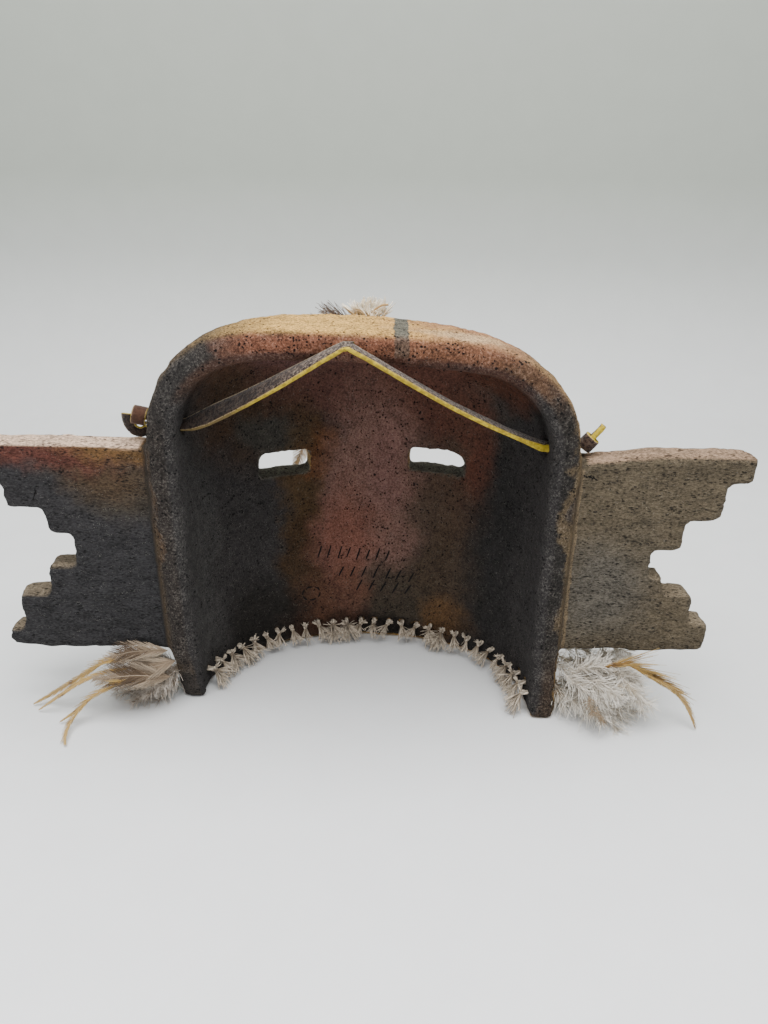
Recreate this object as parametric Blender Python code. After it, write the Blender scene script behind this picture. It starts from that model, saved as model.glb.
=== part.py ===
"""Ceramic wall mask: a U-shaped shell with stepped ears, a leather lace, cotton ties and feather bunches.

Metres, +Z up. The mask stands on its lower edge with its face towards -Y and its open back towards +Y.
It is modelled with the plane of the open back at y = 0 and is moved to the middle of its base at the end.
"""

import math

import bmesh
import bpy
from mathutils import Matrix, Vector

# Shell
HALF_WIDTH = 0.098
DEPTH = 0.085
HEIGHT = 0.1925
WALL = 0.014
CORNER_RADIUS = 0.051
BROW_RADIUS = 0.042
PLAN_POWER = 2.35
FOOT_POWER = 2.08
FOOT_DRAW = 0.0055
FOOT_HEIGHT = 0.110
EDGE_ROUND = 0.0045
CROWN_RISE = 0.0018
TOP_TILT = 0.048
LEFT_FOOT_RADIUS = 0.022
RIGHT_FOOT_KICK = 0.0105
RIGHT_FOOT_HEIGHT = 0.060
FOOT_REACH = 0.050

# How finely the shell is divided
ARC_STEPS = 36
WALL_STEPS = 5
BROW_STEPS = 6
CROWN_STEPS = 8
EDGE_PROFILE = ((0.09, 0.7), (0.28, 1.0), (0.72, 1.0), (0.91, 0.7))

# Stepped ears: how far each row reaches past the side, and how tall it is, from the top row down
EAR_THICKNESS = 0.0145
EAR_SETBACK = 0.006
EAR_ROOT = 0.007
EAR_NOSE = 0.0045
EAR_NICK = 0.0018
EAR_EDGE = 0.0022
EAR_DIP_REACH = 0.034
LEFT_EAR_REACHES = (0.083, 0.0705, 0.053, 0.0415, 0.0565, 0.0735, 0.082)
LEFT_EAR_HEIGHTS = (0.0185, 0.0145, 0.0135, 0.016, 0.0163, 0.0203, 0.0109)
LEFT_EAR_TOP = 0.1415
LEFT_EAR_DIP = 0.0010
RIGHT_EAR_REACHES = (0.081, 0.0695, 0.054, 0.040, 0.048, 0.0635, 0.0745)
RIGHT_EAR_HEIGHTS = (0.014, 0.0185, 0.016, 0.0144, 0.0094, 0.0164, 0.0173)
RIGHT_EAR_TOP = 0.1395
RIGHT_EAR_DIP = 0.0045

# Eye slots: inner end from the middle, length, lower and upper edge, outer upper corner, turn outwards
SLOT_REACH = 0.030
LEFT_SLOT = {"inner": 0.0304, "length": 0.028, "low": 0.1046, "high": 0.1170, "corner": 0.0035, "turn": 15}
RIGHT_SLOT = {"inner": 0.0220, "length": 0.030, "low": 0.1060, "high": 0.1185, "corner": 0.0075, "turn": 5}

# Leather lace through both walls
LACE_WIDTH = 0.0085
LACE_THICKNESS = 0.0024
LACE_TURN = 65
LACE_HOLE_RADIUS = 0.0036
LACE_HOLE_SETBACK = 0.016
LACE_PINCH = 0.0052
LEFT_HOLE_HEIGHT = 0.148
RIGHT_HOLE_HEIGHT = 0.140
LACE_APEX_X = 0.007
LACE_APEX_BEHIND = 0.0059
LACE_APEX_DROP = 0.002
LACE_END_STICKOUT = 0.0006
KNOT_GAP = 0.0003
LEFT_KNOT_RADIUS = 0.0052
RIGHT_KNOT_RADIUS = 0.0032
KNOT_SWEEP = 290
KNOT_TAIL = 0.009

# Cotton ties through the lower edge
TIE_COUNT = 28
TIE_HEIGHT = 0.011
TIE_HOLE_RADIUS = 0.0021
TIE_YARN_RADIUS = 0.0015
TIE_TAIL = 0.0075
TIE_FRONT_TAIL = 0.0047
TIE_DROP = 0.006
LEFT_TIE_START = 0.015
RIGHT_TIE_START = 0.007

# Feathers
FEATHER_GAP = 0.0004
FLOOR_GAP = 0.0005
BLADE_SIDES = 8

# Downy bodies under the ears: how long, then the y of the near and far ends, then how thick
LEFT_DOWN = {"length": 0.0385, "near": -0.010, "far": -0.003, "thickness": 0.034}
RIGHT_DOWN = {"length": 0.0395, "near": -0.002, "far": -0.010, "thickness": 0.040}

# Long feathers: points as distance out from the wall, y and height, then width, thickness and the wide way
LEFT_LONG = (
    ((0.0304, -0.012, 0.0240), (0.0464, -0.009, 0.0215), (0.0600, -0.004, 0.0130), (0.0730, 0.003, 0.0022)),
    0.0085,
    0.0018,
    (0.3, 0.3, 1),
)
LEFT_LOW = (
    ((0.0244, 0.000, 0.0160), (0.0364, 0.007, 0.0145), (0.0440, 0.017, 0.0070), (0.0470, 0.028, 0.0020)),
    0.0075,
    0.0016,
    (0.6, -0.2, 1),
)
LEFT_MIDDLE = (
    ((0.0304, -0.006, 0.0180), (0.0444, -0.001, 0.0165), (0.0550, 0.004, 0.0090), (0.0630, 0.009, 0.0022)),
    0.0075,
    0.0016,
    (0.4, 0.2, 1),
)
RIGHT_LONG = (
    (
        (0.0284, -0.009, 0.0240),
        (0.0424, -0.004, 0.0275),
        (0.0580, 0.003, 0.0205),
        (0.0670, 0.009, 0.0080),
        (0.0705, 0.013, 0.0022),
    ),
    0.0095,
    0.0018,
    (-0.5, 0.2, 1),
)
RIGHT_SMALL = (
    ((0.0304, -0.006, 0.0180), (0.0444, -0.002, 0.0180), (0.0550, 0.000, 0.0110), (0.0600, 0.001, 0.0040)),
    0.0070,
    0.0016,
    (-0.5, 0.2, 1),
)

# Brow bunch: tufts as x, degrees up from level and extra lift off the brow, feathers as x, gap and drop
BROW_LIFT = 0.0048
BROW_BINDING = ((0.001, 36, -0.0005), (0.004, 30, 0.0), (0.007, 24, -0.0003))
BROW_CREAM = ((0.003, 32, 0.0), (0.000, 48, 0.002), (-0.002, 63, 0.0045))
BROW_DARK = ((0.004, 30, 0.0), (0.012, 45, 0.001), (0.019, 58, 0.0022))
BROW_FEATHER_THICKNESS = 0.0022
BROW_HANGING = ((0.014, 0.003, 0.0425), (0.021, 0.002, 0.0675), (0.030, 0.0, 0.1005))
BROW_SHORT = ((-0.003, 0.003, 0.0425), (-0.006, 0.002, 0.0615), (-0.008, 0.0, 0.0805))

CERAMIC = ("smoked clay", (0.27, 0.20, 0.17), 0.85)
LEATHER = ("suede lace", (0.13, 0.08, 0.06), 0.90)
COTTON = ("cotton yarn", (0.78, 0.74, 0.66), 0.95)
FEATHER = ("feather", (0.72, 0.62, 0.47), 0.70)


def clear_scene():
    for item in list(bpy.data.objects):
        bpy.data.objects.remove(item, do_unlink=True)


def material(kind):
    name, colour, roughness = kind
    made = bpy.data.materials.get(name)
    if made is None:
        made = bpy.data.materials.new(name)
        made.use_nodes = True
        shader = made.node_tree.nodes["Principled BSDF"]
        shader.inputs["Base Color"].default_value = (*colour, 1.0)
        shader.inputs["Roughness"].default_value = roughness
        shader.inputs["Metallic"].default_value = 0.0
    return made


def finish_mesh(bm, name, kind, sharp_degrees=40):
    bmesh.ops.recalc_face_normals(bm, faces=bm.faces)
    mesh = bpy.data.meshes.new(name)
    bm.to_mesh(mesh)
    bm.free()
    mesh.shade_smooth()
    mesh.set_sharp_from_angle(angle=math.radians(sharp_degrees))
    made = bpy.data.objects.new(name, mesh)
    bpy.context.collection.objects.link(made)
    if kind is not None:
        mesh.materials.append(material(kind))
    return made


def hide_tool(item):
    item.hide_render = True
    item.display_type = "WIRE"


def boolean(target, tool, operation):
    cut = target.modifiers.new(f"{operation.lower()} {tool.name}", "BOOLEAN")
    cut.operation = operation
    cut.solver = "EXACT"
    cut.object = tool
    hide_tool(tool)


def footing(z):
    """How much the shape of the foot counts at a height: 1 at the floor and 0 from FOOT_HEIGHT up."""
    return max(1 - z / FOOT_HEIGHT, 0.0)


def plan(half_width, depth, angle, z):
    """A point of the U-shaped plan: angle 0 is the +X end of the open back and pi is its -X end."""
    power = PLAN_POWER + (FOOT_POWER - PLAN_POWER) * footing(z)
    along = math.cos(angle)
    forward = max(math.sin(angle), 0.0)
    x = math.copysign(half_width * abs(along) ** (2 / power), along)
    return x, -(depth - FOOT_DRAW * footing(z)) * forward ** (2 / power)


def foot_shift(x, z):
    """How far the open back moves at the foot: the +X wall is rounded off and the -X wall kicks back."""
    if x > 0:
        if z >= LEFT_FOOT_RADIUS:
            return 0.0
        rise = LEFT_FOOT_RADIUS - z
        return math.sqrt(max(LEFT_FOOT_RADIUS**2 - rise**2, 0.0)) - LEFT_FOOT_RADIUS
    return RIGHT_FOOT_KICK * max(1 - z / RIGHT_FOOT_HEIGHT, 0.0) ** 2


def hand_shaped(x, y, z):
    """The small unevenness of the hand-built shell: a tilted top and unequal feet."""
    near_back = max(1 + y / FOOT_REACH, 0.0) ** 2
    return Vector((x, y + foot_shift(x, z) * near_back, z + TOP_TILT * x * (z / HEIGHT) ** 2))


def round_radius(angle, inset):
    """The radius of the rounding under the top, between the brow's and the upper corners'."""
    share = math.cos(angle) ** 2
    return BROW_RADIUS + (CORNER_RADIUS - BROW_RADIUS) * share - inset


def section(angle, lean, z, inset):
    """A point of the shell's outer face, or inset into it, where lean runs from 0 to 1 round the brow."""
    width = HALF_WIDTH - inset - (CORNER_RADIUS - inset) * lean
    depth = DEPTH - inset - (BROW_RADIUS - inset) * lean
    x, y = plan(width, depth - EDGE_ROUND, angle, z)
    return hand_shaped(x, y - EDGE_ROUND, z)


def wall_point(angle, z, inset):
    return section(angle, 0.0, z, inset)


def skin_row(climb, inset):
    """One row of points round the plan: climb 0 to 1 is the upright wall and 1 to 2 is the rounding."""
    row = []
    for step in range(ARC_STEPS + 1):
        angle = math.pi * step / ARC_STEPS
        radius = round_radius(angle, inset)
        top = HEIGHT - inset
        if climb <= 1:
            row.append(section(angle, 0.0, EDGE_ROUND + (top - radius - EDGE_ROUND) * climb, inset))
        else:
            turn = (climb - 1) * math.pi / 2
            row.append(section(angle, 1 - math.cos(turn), top - radius * (1 - math.sin(turn)), inset))
    return row


def crown_rung(first, last, full_width):
    """Points across the flat top between two opposite points, rising a little in the middle."""
    rung = []
    for step in range(1, CROWN_STEPS):
        share = step / CROWN_STEPS
        point = first.lerp(last, share)
        point.z += CROWN_RISE * 4 * share * (1 - share) * (first - last).length / full_width
        rung.append(point)
    return rung


def quads(bm, one, two):
    for index in range(len(one) - 1):
        bm.faces.new((one[index], one[index + 1], two[index + 1], two[index]))


def skin_patch(bm, inset):
    """The outer or the inner face of the shell; returns the points round its open edge, in order."""
    climbs = [step / WALL_STEPS for step in range(WALL_STEPS)]
    climbs += [1 + step / BROW_STEPS for step in range(BROW_STEPS + 1)]
    rows = [[bm.verts.new(point) for point in skin_row(climb, inset)] for climb in climbs]
    for low, high in zip(rows, rows[1:]):
        quads(bm, low, high)
    top = rows[-1]
    full_width = (top[0].co - top[-1].co).length
    rungs = []
    for step in range(ARC_STEPS // 2):
        first, last = top[step], top[ARC_STEPS - step]
        between = [bm.verts.new(point) for point in crown_rung(first.co, last.co, full_width)]
        rungs.append([first, *between, last])
    for near, far in zip(rungs, rungs[1:]):
        quads(bm, near, far)
    front = top[ARC_STEPS // 2]
    for index in range(CROWN_STEPS):
        bm.faces.new((rungs[-1][index], rungs[-1][index + 1], front))
    right_rim = [row[-1] for row in rows[1:]]
    left_rim = [row[0] for row in rows[1:]]
    return rows[0] + right_rim + rungs[0][-2:0:-1] + left_rim[::-1]


def edge_directions(count):
    """Where each point of the open edge faces: down along the foot, back along the rim, both at corners."""
    directions = []
    for index in range(count):
        if index in (0, ARC_STEPS):
            directions.append(Vector((0, 1, -1)))
        elif index < ARC_STEPS:
            directions.append(Vector((0, 0, -1)))
        else:
            directions.append(Vector((0, 1, 0)))
    return directions


def build_shell_body():
    bm = bmesh.new()
    outer = skin_patch(bm, 0.0)
    inner = skin_patch(bm, WALL)
    directions = edge_directions(len(outer))
    loops = [outer]
    for share, bulge in EDGE_PROFILE:
        loop = []
        for start, end, direction in zip(outer, inner, directions):
            loop.append(bm.verts.new(start.co.lerp(end.co, share) + direction * EDGE_ROUND * bulge))
        loops.append(loop)
    loops.append(inner)
    for one, two in zip(loops, loops[1:]):
        quads(bm, one + one[:1], two + two[:1])
    return finish_mesh(bm, "mask_shell", CERAMIC)


def rounded_outline(points, nose, nick):
    """A closed outline with its outward corners rounded by nose and its inward corners by nick."""
    outline = []
    count = len(points)
    for index, corner in enumerate(points):
        before = points[index - 1] - corner
        after = points[(index + 1) % count] - corner
        turn = before.x * after.y - before.y * after.x
        radius, steps = (nose, 3) if turn > 0 else (nick, 1)
        bend = before.angle(after)
        if bend > math.radians(170):
            outline.append(corner)
            continue
        reach = min(radius / math.tan(bend / 2), before.length * 0.45, after.length * 0.45)
        start = corner + before.normalized() * reach
        end = corner + after.normalized() * reach
        for step in range(steps + 1):
            share = step / steps
            outline.append(start * (1 - share) ** 2 + corner * 2 * share * (1 - share) + end * share**2)
    return outline


def extrude_outline(outline, thickness, edge, name, kind):
    """A flat slab standing in the XZ plane, from y = 0 to y = -thickness, with its edges rounded."""
    bm = bmesh.new()
    face = bm.faces.new([bm.verts.new((point.x, 0.0, point.y)) for point in outline])
    grown = bmesh.ops.extrude_face_region(bm, geom=[face])
    moved = [item for item in grown["geom"] if isinstance(item, bmesh.types.BMVert)]
    bmesh.ops.translate(bm, verts=moved, vec=(0, -thickness, 0))
    if edge > 0:
        rims = [item for item in bm.edges if abs(item.verts[0].co.y - item.verts[1].co.y) < edge]
        bmesh.ops.bevel(
            bm, geom=rims, offset=edge, segments=2, affect="EDGES", profile=0.5, clamp_overlap=True
        )
    return finish_mesh(bm, name, kind)


def build_ear(name, side, top, dip, reaches, heights):
    """One stepped ear as a slab whose root is buried in the side wall."""
    root = HALF_WIDTH - EAR_ROOT
    points = [Vector((root, top - dip)), Vector((HALF_WIDTH + EAR_DIP_REACH, top))]
    level = top
    points.append(Vector((HALF_WIDTH + reaches[0], level)))
    for index, height in enumerate(heights):
        level -= height
        points.append(Vector((HALF_WIDTH + reaches[index], level)))
        if index + 1 < len(reaches):
            points.append(Vector((HALF_WIDTH + reaches[index + 1], level)))
    points.append(Vector((root, level)))
    points = [Vector((side * point.x, point.y)) for point in points]
    if side < 0:
        points.reverse()
    ear = extrude_outline(rounded_outline(points, EAR_NOSE, EAR_NICK), EAR_THICKNESS, EAR_EDGE, name, None)
    ear.location.y = -EAR_SETBACK
    return ear


def build_slot_tool(name, side, slot):
    """The cutter of an eye slot, turned outwards about its own middle."""
    half = slot["length"] / 2
    low = 0.0
    high = slot["high"] - slot["low"]
    corner = slot["corner"]
    points = [Vector((-half, low)), Vector((half, low))]
    for step in range(5):
        turn = step * math.pi / 8
        x = half - corner + corner * math.cos(turn)
        points.append(Vector((x, high - corner + corner * math.sin(turn))))
    points.append(Vector((-half, high)))
    points = [Vector((side * point.x, point.y)) for point in points]
    if side < 0:
        points.reverse()
    tool = extrude_outline(points, 2 * SLOT_REACH, 0.0, name, None)
    middle = slot["inner"] + half
    share = 1 - (middle / (HALF_WIDTH - WALL)) ** PLAN_POWER
    depth = (DEPTH - WALL) * share ** (1 / PLAN_POWER)
    centre = Vector((side * middle, -depth, slot["low"]))
    turn = Matrix.Rotation(math.radians(side * slot["turn"]), 4, "Z")
    tool.matrix_world = Matrix.Translation(centre) @ turn @ Matrix.Translation((0, SLOT_REACH, 0))
    return tool


def tie_places():
    """Where each tie leaves the inner wall, and the level direction from there into the hollow."""
    fine = 400
    curve = [wall_point(math.pi * step / fine, TIE_HEIGHT, WALL) for step in range(fine + 1)]
    lengths = [0.0]
    for one, two in zip(curve, curve[1:]):
        lengths.append(lengths[-1] + (two - one).length)
    start = LEFT_TIE_START - EDGE_ROUND
    end = lengths[-1] - (RIGHT_TIE_START - EDGE_ROUND)
    places = []
    for index in range(TIE_COUNT):
        target = start + (end - start) * index / (TIE_COUNT - 1)
        step = next(i for i, length in enumerate(lengths) if length >= target)
        tangent = (curve[min(step + 1, fine)] - curve[max(step - 1, 0)]).normalized()
        places.append((curve[step], Vector((tangent.y, -tangent.x, 0.0)).normalized()))
    return places


def inward(place, direction):
    """The direction turned so that it points from the wall towards the middle of the hollow."""
    middle = Vector((0.0, -DEPTH / 3, place.z))
    return direction if direction.dot(middle - place) > 0 else -direction


def add_tube(bm, centre, direction, length, radius, sides):
    matrix = Matrix.Translation(centre) @ direction.to_track_quat("Z", "Y").to_matrix().to_4x4()
    bmesh.ops.create_cone(
        bm, cap_ends=True, segments=sides, radius1=radius, radius2=radius, depth=length, matrix=matrix
    )


def build_hole_tool(places):
    """One cutter for the two lace holes and every tie hole."""
    bm = bmesh.new()
    for side, height in ((1, LEFT_HOLE_HEIGHT), (-1, RIGHT_HOLE_HEIGHT)):
        centre = Vector((side * (HALF_WIDTH - WALL / 2), -LACE_HOLE_SETBACK, height))
        add_tube(bm, centre, Vector((1, 0, 0)), 2 * WALL, LACE_HOLE_RADIUS, 14)
    for place, direction in places:
        toward = inward(place, direction)
        add_tube(bm, place - toward * WALL / 2, toward, 2 * WALL, TIE_HOLE_RADIUS, 8)
    return finish_mesh(bm, "hole_tool", None)


def sweep(bm, points, widths, thicknesses, side, sides=BLADE_SIDES, square=1.0):
    """A closed body along points, with an oval or squarish section as wide as each width along side."""
    rings = []
    last = len(points) - 1
    for index, point in enumerate(points):
        forward = (points[min(index + 1, last)] - points[max(index - 1, 0)]).normalized()
        across = side[index] if isinstance(side, list) else side
        across = (across - forward * across.dot(forward)).normalized()
        up = forward.cross(across)
        ring = []
        for step in range(sides):
            turn = 2 * math.pi * (step + 0.5) / sides
            c, s = math.cos(turn), math.sin(turn)
            x = math.copysign(abs(c) ** square, c) * widths[index] / 2
            y = math.copysign(abs(s) ** square, s) * thicknesses[index] / 2
            ring.append(bm.verts.new(point + across * x + up * y))
        rings.append(ring)
    for one, two in zip(rings, rings[1:]):
        quads(bm, one + one[:1], two + two[:1])
    bm.faces.new(rings[0][::-1])
    bm.faces.new(rings[-1])


def smooth_path(knots, steps):
    """Points along a Catmull-Rom curve through the knots, with steps points between two knots."""
    padded = [knots[0] * 2 - knots[1], *knots, knots[-1] * 2 - knots[-2]]
    path = []
    for a, b, c, d in zip(padded, padded[1:], padded[2:], padded[3:]):
        bend = a * 2 - b * 5 + c * 4 - d
        twist = b * 3 - a - c * 3 + d
        for step in range(steps):
            t = step / steps
            path.append((b * 2 + (c - a) * t + bend * t**2 + twist * t**3) / 2)
    path.append(knots[-1].copy())
    return path


def lace_route():
    """The lace from outside the +X wall, through its hole, up over the rim and down to the other hole."""
    knots = []
    outside = HALF_WIDTH + LACE_END_STICKOUT
    inside = HALF_WIDTH - WALL
    apex = Vector((LACE_APEX_X, LACE_APEX_BEHIND, HEIGHT - LACE_APEX_DROP))
    left = Vector((inside, -LACE_HOLE_SETBACK, LEFT_HOLE_HEIGHT))
    right = Vector((-inside, -LACE_HOLE_SETBACK, RIGHT_HOLE_HEIGHT))
    knots.append(Vector((outside, left.y, left.z)))
    knots.append(Vector((inside + WALL / 2, left.y, left.z)))
    knots.append(left + Vector((-0.001, 0, 0)))
    knots.append(left.lerp(apex, 0.12) + Vector((0, 0.001, -0.0015)))
    knots.append(left.lerp(apex, 0.5) + Vector((0, 0.004, -0.001)))
    knots.append(left.lerp(apex, 0.92) + Vector((0, 0.001, 0.0005)))
    knots.append(apex)
    knots.append(right.lerp(apex, 0.94) + Vector((0, 0.001, 0.0005)))
    knots.append(right.lerp(apex, 0.5) + Vector((0, 0.004, -0.002)))
    knots.append(right.lerp(apex, 0.10) + Vector((0, 0.001, -0.0015)))
    knots.append(right + Vector((0.001, 0, 0)))
    knots.append(Vector((-inside - WALL / 2, right.y, right.z)))
    knots.append(Vector((-outside, right.y, right.z)))
    return smooth_path(knots, 2)


def lace_sides(path):
    """Which way the lace's width points: level towards the back, and turned down on the way to the +X wall."""
    sides = []
    for point in path:
        share = min(max(point.x / (HALF_WIDTH - WALL), 0.0), 1.0)
        turn = math.radians(LACE_TURN * share)
        sides.append(Vector((0, math.cos(turn), -math.sin(turn))))
    return sides


def build_lace():
    path = lace_route()
    inside = HALF_WIDTH - WALL
    widths = []
    thicknesses = []
    for point in path:
        free = min(max((inside - 0.002 - abs(point.x)) / 0.010, 0.0), 1.0)
        widths.append(LACE_PINCH + (LACE_WIDTH - LACE_PINCH) * free)
        thicknesses.append(LACE_PINCH - 0.001 + (LACE_THICKNESS - LACE_PINCH + 0.001) * free)
    bm = bmesh.new()
    sweep(bm, path, widths, thicknesses, lace_sides(path), square=0.55)
    return finish_mesh(bm, "hanging_lace", LEATHER)


def build_knot(name, side, height, radius, tail):
    """An end of the lace curled into a knot outside its wall, with its cut tail."""
    clear = HALF_WIDTH + LACE_END_STICKOUT + KNOT_GAP + LACE_THICKNESS / 2
    centre = Vector((side * (clear + radius), -LACE_HOLE_SETBACK, height))
    steps = 14
    path = []
    for step in range(steps + 1):
        turn = math.radians(180 + KNOT_SWEEP * step / steps)
        path.append(centre + Vector((side * radius * math.cos(turn), 0, radius * math.sin(turn))))
    if tail > 0:
        leave = (path[-1] - path[-2]).normalized()
        path.append(path[-1] + (leave + Vector((side * 0.9, 0, 0.3))).normalized() * tail / 2)
        path.append(path[-1] + Vector((side * 0.8, 0, 0.6)) * tail / 2)
    bm = bmesh.new()
    count = len(path)
    sweep(bm, path, [LACE_WIDTH * 0.9] * count, [LACE_THICKNESS] * count, Vector((0, 1, 0)), square=0.55)
    return finish_mesh(bm, name, LEATHER)


def build_tie(index, place, direction):
    """A short yarn through the wall: a tail on the face, a knob inside and a tail that leans down."""
    toward = inward(place, direction)
    mouth = TIE_YARN_RADIUS / 2
    stations = (
        (-WALL - TIE_FRONT_TAIL, -TIE_DROP, 0.9),
        (-WALL - TIE_FRONT_TAIL * 0.6, -TIE_DROP * 0.25, 1.1),
        (-WALL - mouth, 0.0, 1.0),
        (mouth, 0.0, 1.0),
        (TIE_TAIL * 0.32, TIE_DROP * 0.05, 1.3),
        (TIE_TAIL * 0.62, -TIE_DROP * 0.3, 1.1),
        (TIE_TAIL, -TIE_DROP, 0.8),
    )
    points = [place + toward * along + Vector((0, 0, rise)) for along, rise, _ in stations]
    widths = [2 * TIE_YARN_RADIUS * share for _, _, share in stations]
    level = toward.cross(Vector((0, 0, 1)))
    bm = bmesh.new()
    sweep(bm, points, widths, widths, level, sides=5)
    return finish_mesh(bm, f"yarn_tie_{index + 1:02d}", COTTON)


def blade(name, knots, width, thickness, side, steps=3, tip=0.15, root=0.35, fullness=1.0):
    """A feather or tuft: a flat leaf that is widest past its root and narrows to its tip."""
    path = smooth_path([Vector(knot) for knot in knots], steps)
    widths = []
    thicknesses = []
    for index in range(len(path)):
        share = index / (len(path) - 1)
        swell = max(math.sin(math.pi * share**0.7), 0.0) ** fullness
        edge = root * (1 - share) + tip * share
        widths.append(width * max(edge, swell))
        thicknesses.append(thickness * max(edge, swell))
    bm = bmesh.new()
    sweep(bm, path, widths, thicknesses, Vector(side))
    return finish_mesh(bm, name, FEATHER)


def bunch(name, parts):
    """Blades joined into one bunch that carries the first blade's mesh."""
    body = parts[0]
    body.name = name
    for tool in parts[1:]:
        tool.data.materials.clear()
        boolean(body, tool, "UNION")
    return body


def down(name, side, under, size):
    """The downy body of a bunch, between the floor and the ear above it and clear of the ties' tails."""
    start = HALF_WIDTH + TIE_FRONT_TAIL + TIE_YARN_RADIUS + FEATHER_GAP
    middle = (under + FLOOR_GAP) / 2
    knots = []
    for share in (0.05, 0.4, 1.0):
        y = size["near"] + (size["far"] - size["near"]) * share
        knots.append((side * (start + size["length"] * share), y, middle))
    return blade(
        name,
        knots,
        under - FLOOR_GAP - FEATHER_GAP,
        size["thickness"],
        (0, 0, 1),
        steps=4,
        root=0.6,
        tip=0.3,
        fullness=0.5,
    )


def ear_feather(name, side, feather):
    """A long feather of the bunch under an ear, placed from the wall outwards."""
    spots, width, thickness, wide = feather
    knots = [(side * (HALF_WIDTH + out), y, z) for out, y, z in spots]
    return blade(name, knots, width, thickness, wide)


def build_left_ear_feathers():
    under = LEFT_EAR_TOP - sum(LEFT_EAR_HEIGHTS) - FEATHER_GAP
    body = down("left down", 1, under, LEFT_DOWN)
    long_one = ear_feather("left long", 1, LEFT_LONG)
    low_one = ear_feather("left low", 1, LEFT_LOW)
    middle_one = ear_feather("left middle", 1, LEFT_MIDDLE)
    return bunch("left_ear_feathers", [body, long_one, low_one, middle_one])


def build_right_ear_feathers():
    under = RIGHT_EAR_TOP - sum(RIGHT_EAR_HEIGHTS) - FEATHER_GAP
    body = down("right down", -1, under, RIGHT_DOWN)
    long_one = ear_feather("right long", -1, RIGHT_LONG)
    small_one = ear_feather("right small", -1, RIGHT_SMALL)
    return bunch("right_ear_feathers", [body, long_one, small_one])


def brow_point(x, turn, lift):
    """A point over the middle of the brow, turned up from level by turn degrees and lifted off it."""
    angle = math.radians(turn)
    reach = BROW_RADIUS + lift
    y = -(DEPTH - BROW_RADIUS) - reach * math.cos(angle)
    z = HEIGHT - BROW_RADIUS + reach * math.sin(angle)
    return hand_shaped(x, y, z)


def brow_knots(spots):
    return [brow_point(x, turn, BROW_LIFT + lift) for x, turn, lift in spots]


def hanging_knots(root_x, spots):
    """From the binding down the face: each further point keeps a gap in front of the shell."""
    front = -DEPTH - FEATHER_GAP - BROW_FEATHER_THICKNESS
    return [brow_point(root_x, 26, BROW_LIFT)] + [(x, front - gap, HEIGHT - drop) for x, gap, drop in spots]


def build_brow_feathers():
    """Two tufts that stand up over the brow and two feathers that hang down the face, bound together."""
    binding = blade("binding", brow_knots(BROW_BINDING), 0.010, 0.0075, (1, 0, 0), root=0.7, tip=0.7)
    cream = blade("cream tuft", brow_knots(BROW_CREAM), 0.022, 0.0072, (1, 0, 0), steps=4, tip=0.85)
    dark = blade("dark tuft", brow_knots(BROW_DARK), 0.012, 0.0062, (1, 0, 0.2), steps=4, tip=0.7)
    hanging = blade(
        "hanging feather", hanging_knots(0.005, BROW_HANGING), 0.015, BROW_FEATHER_THICKNESS, (1, 0, 0.2)
    )
    short = blade(
        "short feather", hanging_knots(0.003, BROW_SHORT), 0.012, BROW_FEATHER_THICKNESS, (1, 0, -0.1)
    )
    return bunch("brow_feathers", [binding, cream, dark, hanging, short])


def build_mask():
    shell = build_shell_body()
    left = build_ear("left ear slab", 1, LEFT_EAR_TOP, LEFT_EAR_DIP, LEFT_EAR_REACHES, LEFT_EAR_HEIGHTS)
    right = build_ear(
        "right ear slab", -1, RIGHT_EAR_TOP, RIGHT_EAR_DIP, RIGHT_EAR_REACHES, RIGHT_EAR_HEIGHTS
    )
    boolean(shell, left, "UNION")
    boolean(shell, right, "UNION")
    boolean(shell, build_slot_tool("left slot tool", 1, LEFT_SLOT), "DIFFERENCE")
    boolean(shell, build_slot_tool("right slot tool", -1, RIGHT_SLOT), "DIFFERENCE")
    places = tie_places()
    boolean(shell, build_hole_tool(places), "DIFFERENCE")
    build_lace()
    build_knot("lace_knot_left", 1, LEFT_HOLE_HEIGHT + 0.0005, LEFT_KNOT_RADIUS, 0.0)
    build_knot("lace_knot_right", -1, RIGHT_HOLE_HEIGHT + 0.003, RIGHT_KNOT_RADIUS, KNOT_TAIL)
    for index, (place, direction) in enumerate(places):
        build_tie(index, place, direction)
    build_left_ear_feathers()
    build_right_ear_feathers()
    build_brow_feathers()


def stand_on_origin():
    """Moves everything so that the origin is the middle of the base of the box round all but the lace."""
    bpy.context.view_layer.update()
    graph = bpy.context.evaluated_depsgraph_get()
    corners = []
    for item in bpy.data.objects:
        if item.hide_render or item.name.startswith(("hanging_lace", "lace_knot")):
            continue
        shown = item.evaluated_get(graph)
        corners += [shown.matrix_world @ vertex.co for vertex in shown.data.vertices]
    middle_x = (min(point.x for point in corners) + max(point.x for point in corners)) / 2
    middle_y = (min(point.y for point in corners) + max(point.y for point in corners)) / 2
    shift = Vector((middle_x, middle_y, min(point.z for point in corners)))
    for item in bpy.data.objects:
        item.matrix_world = Matrix.Translation(-shift) @ item.matrix_world


def main():
    clear_scene()
    build_mask()
    stand_on_origin()


main()
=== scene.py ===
"""Builds the looks of a hand-built smoke-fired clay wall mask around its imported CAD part.

The mask stands on its lower edge with its face towards -Y and its open back towards +Y, where the
camera is. The clay, the leather lace, the cotton ties and the feathers are each made by an operator
of their own, and every size is in metres in the frame of the CAD part.
"""

import math
import random

import bmesh
import bpy
import numpy as np
from bpy.props import FloatProperty, FloatVectorProperty, IntProperty, PointerProperty
from mathutils import Matrix, Vector, noise
from mathutils.bvhtree import BVHTree


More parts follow.
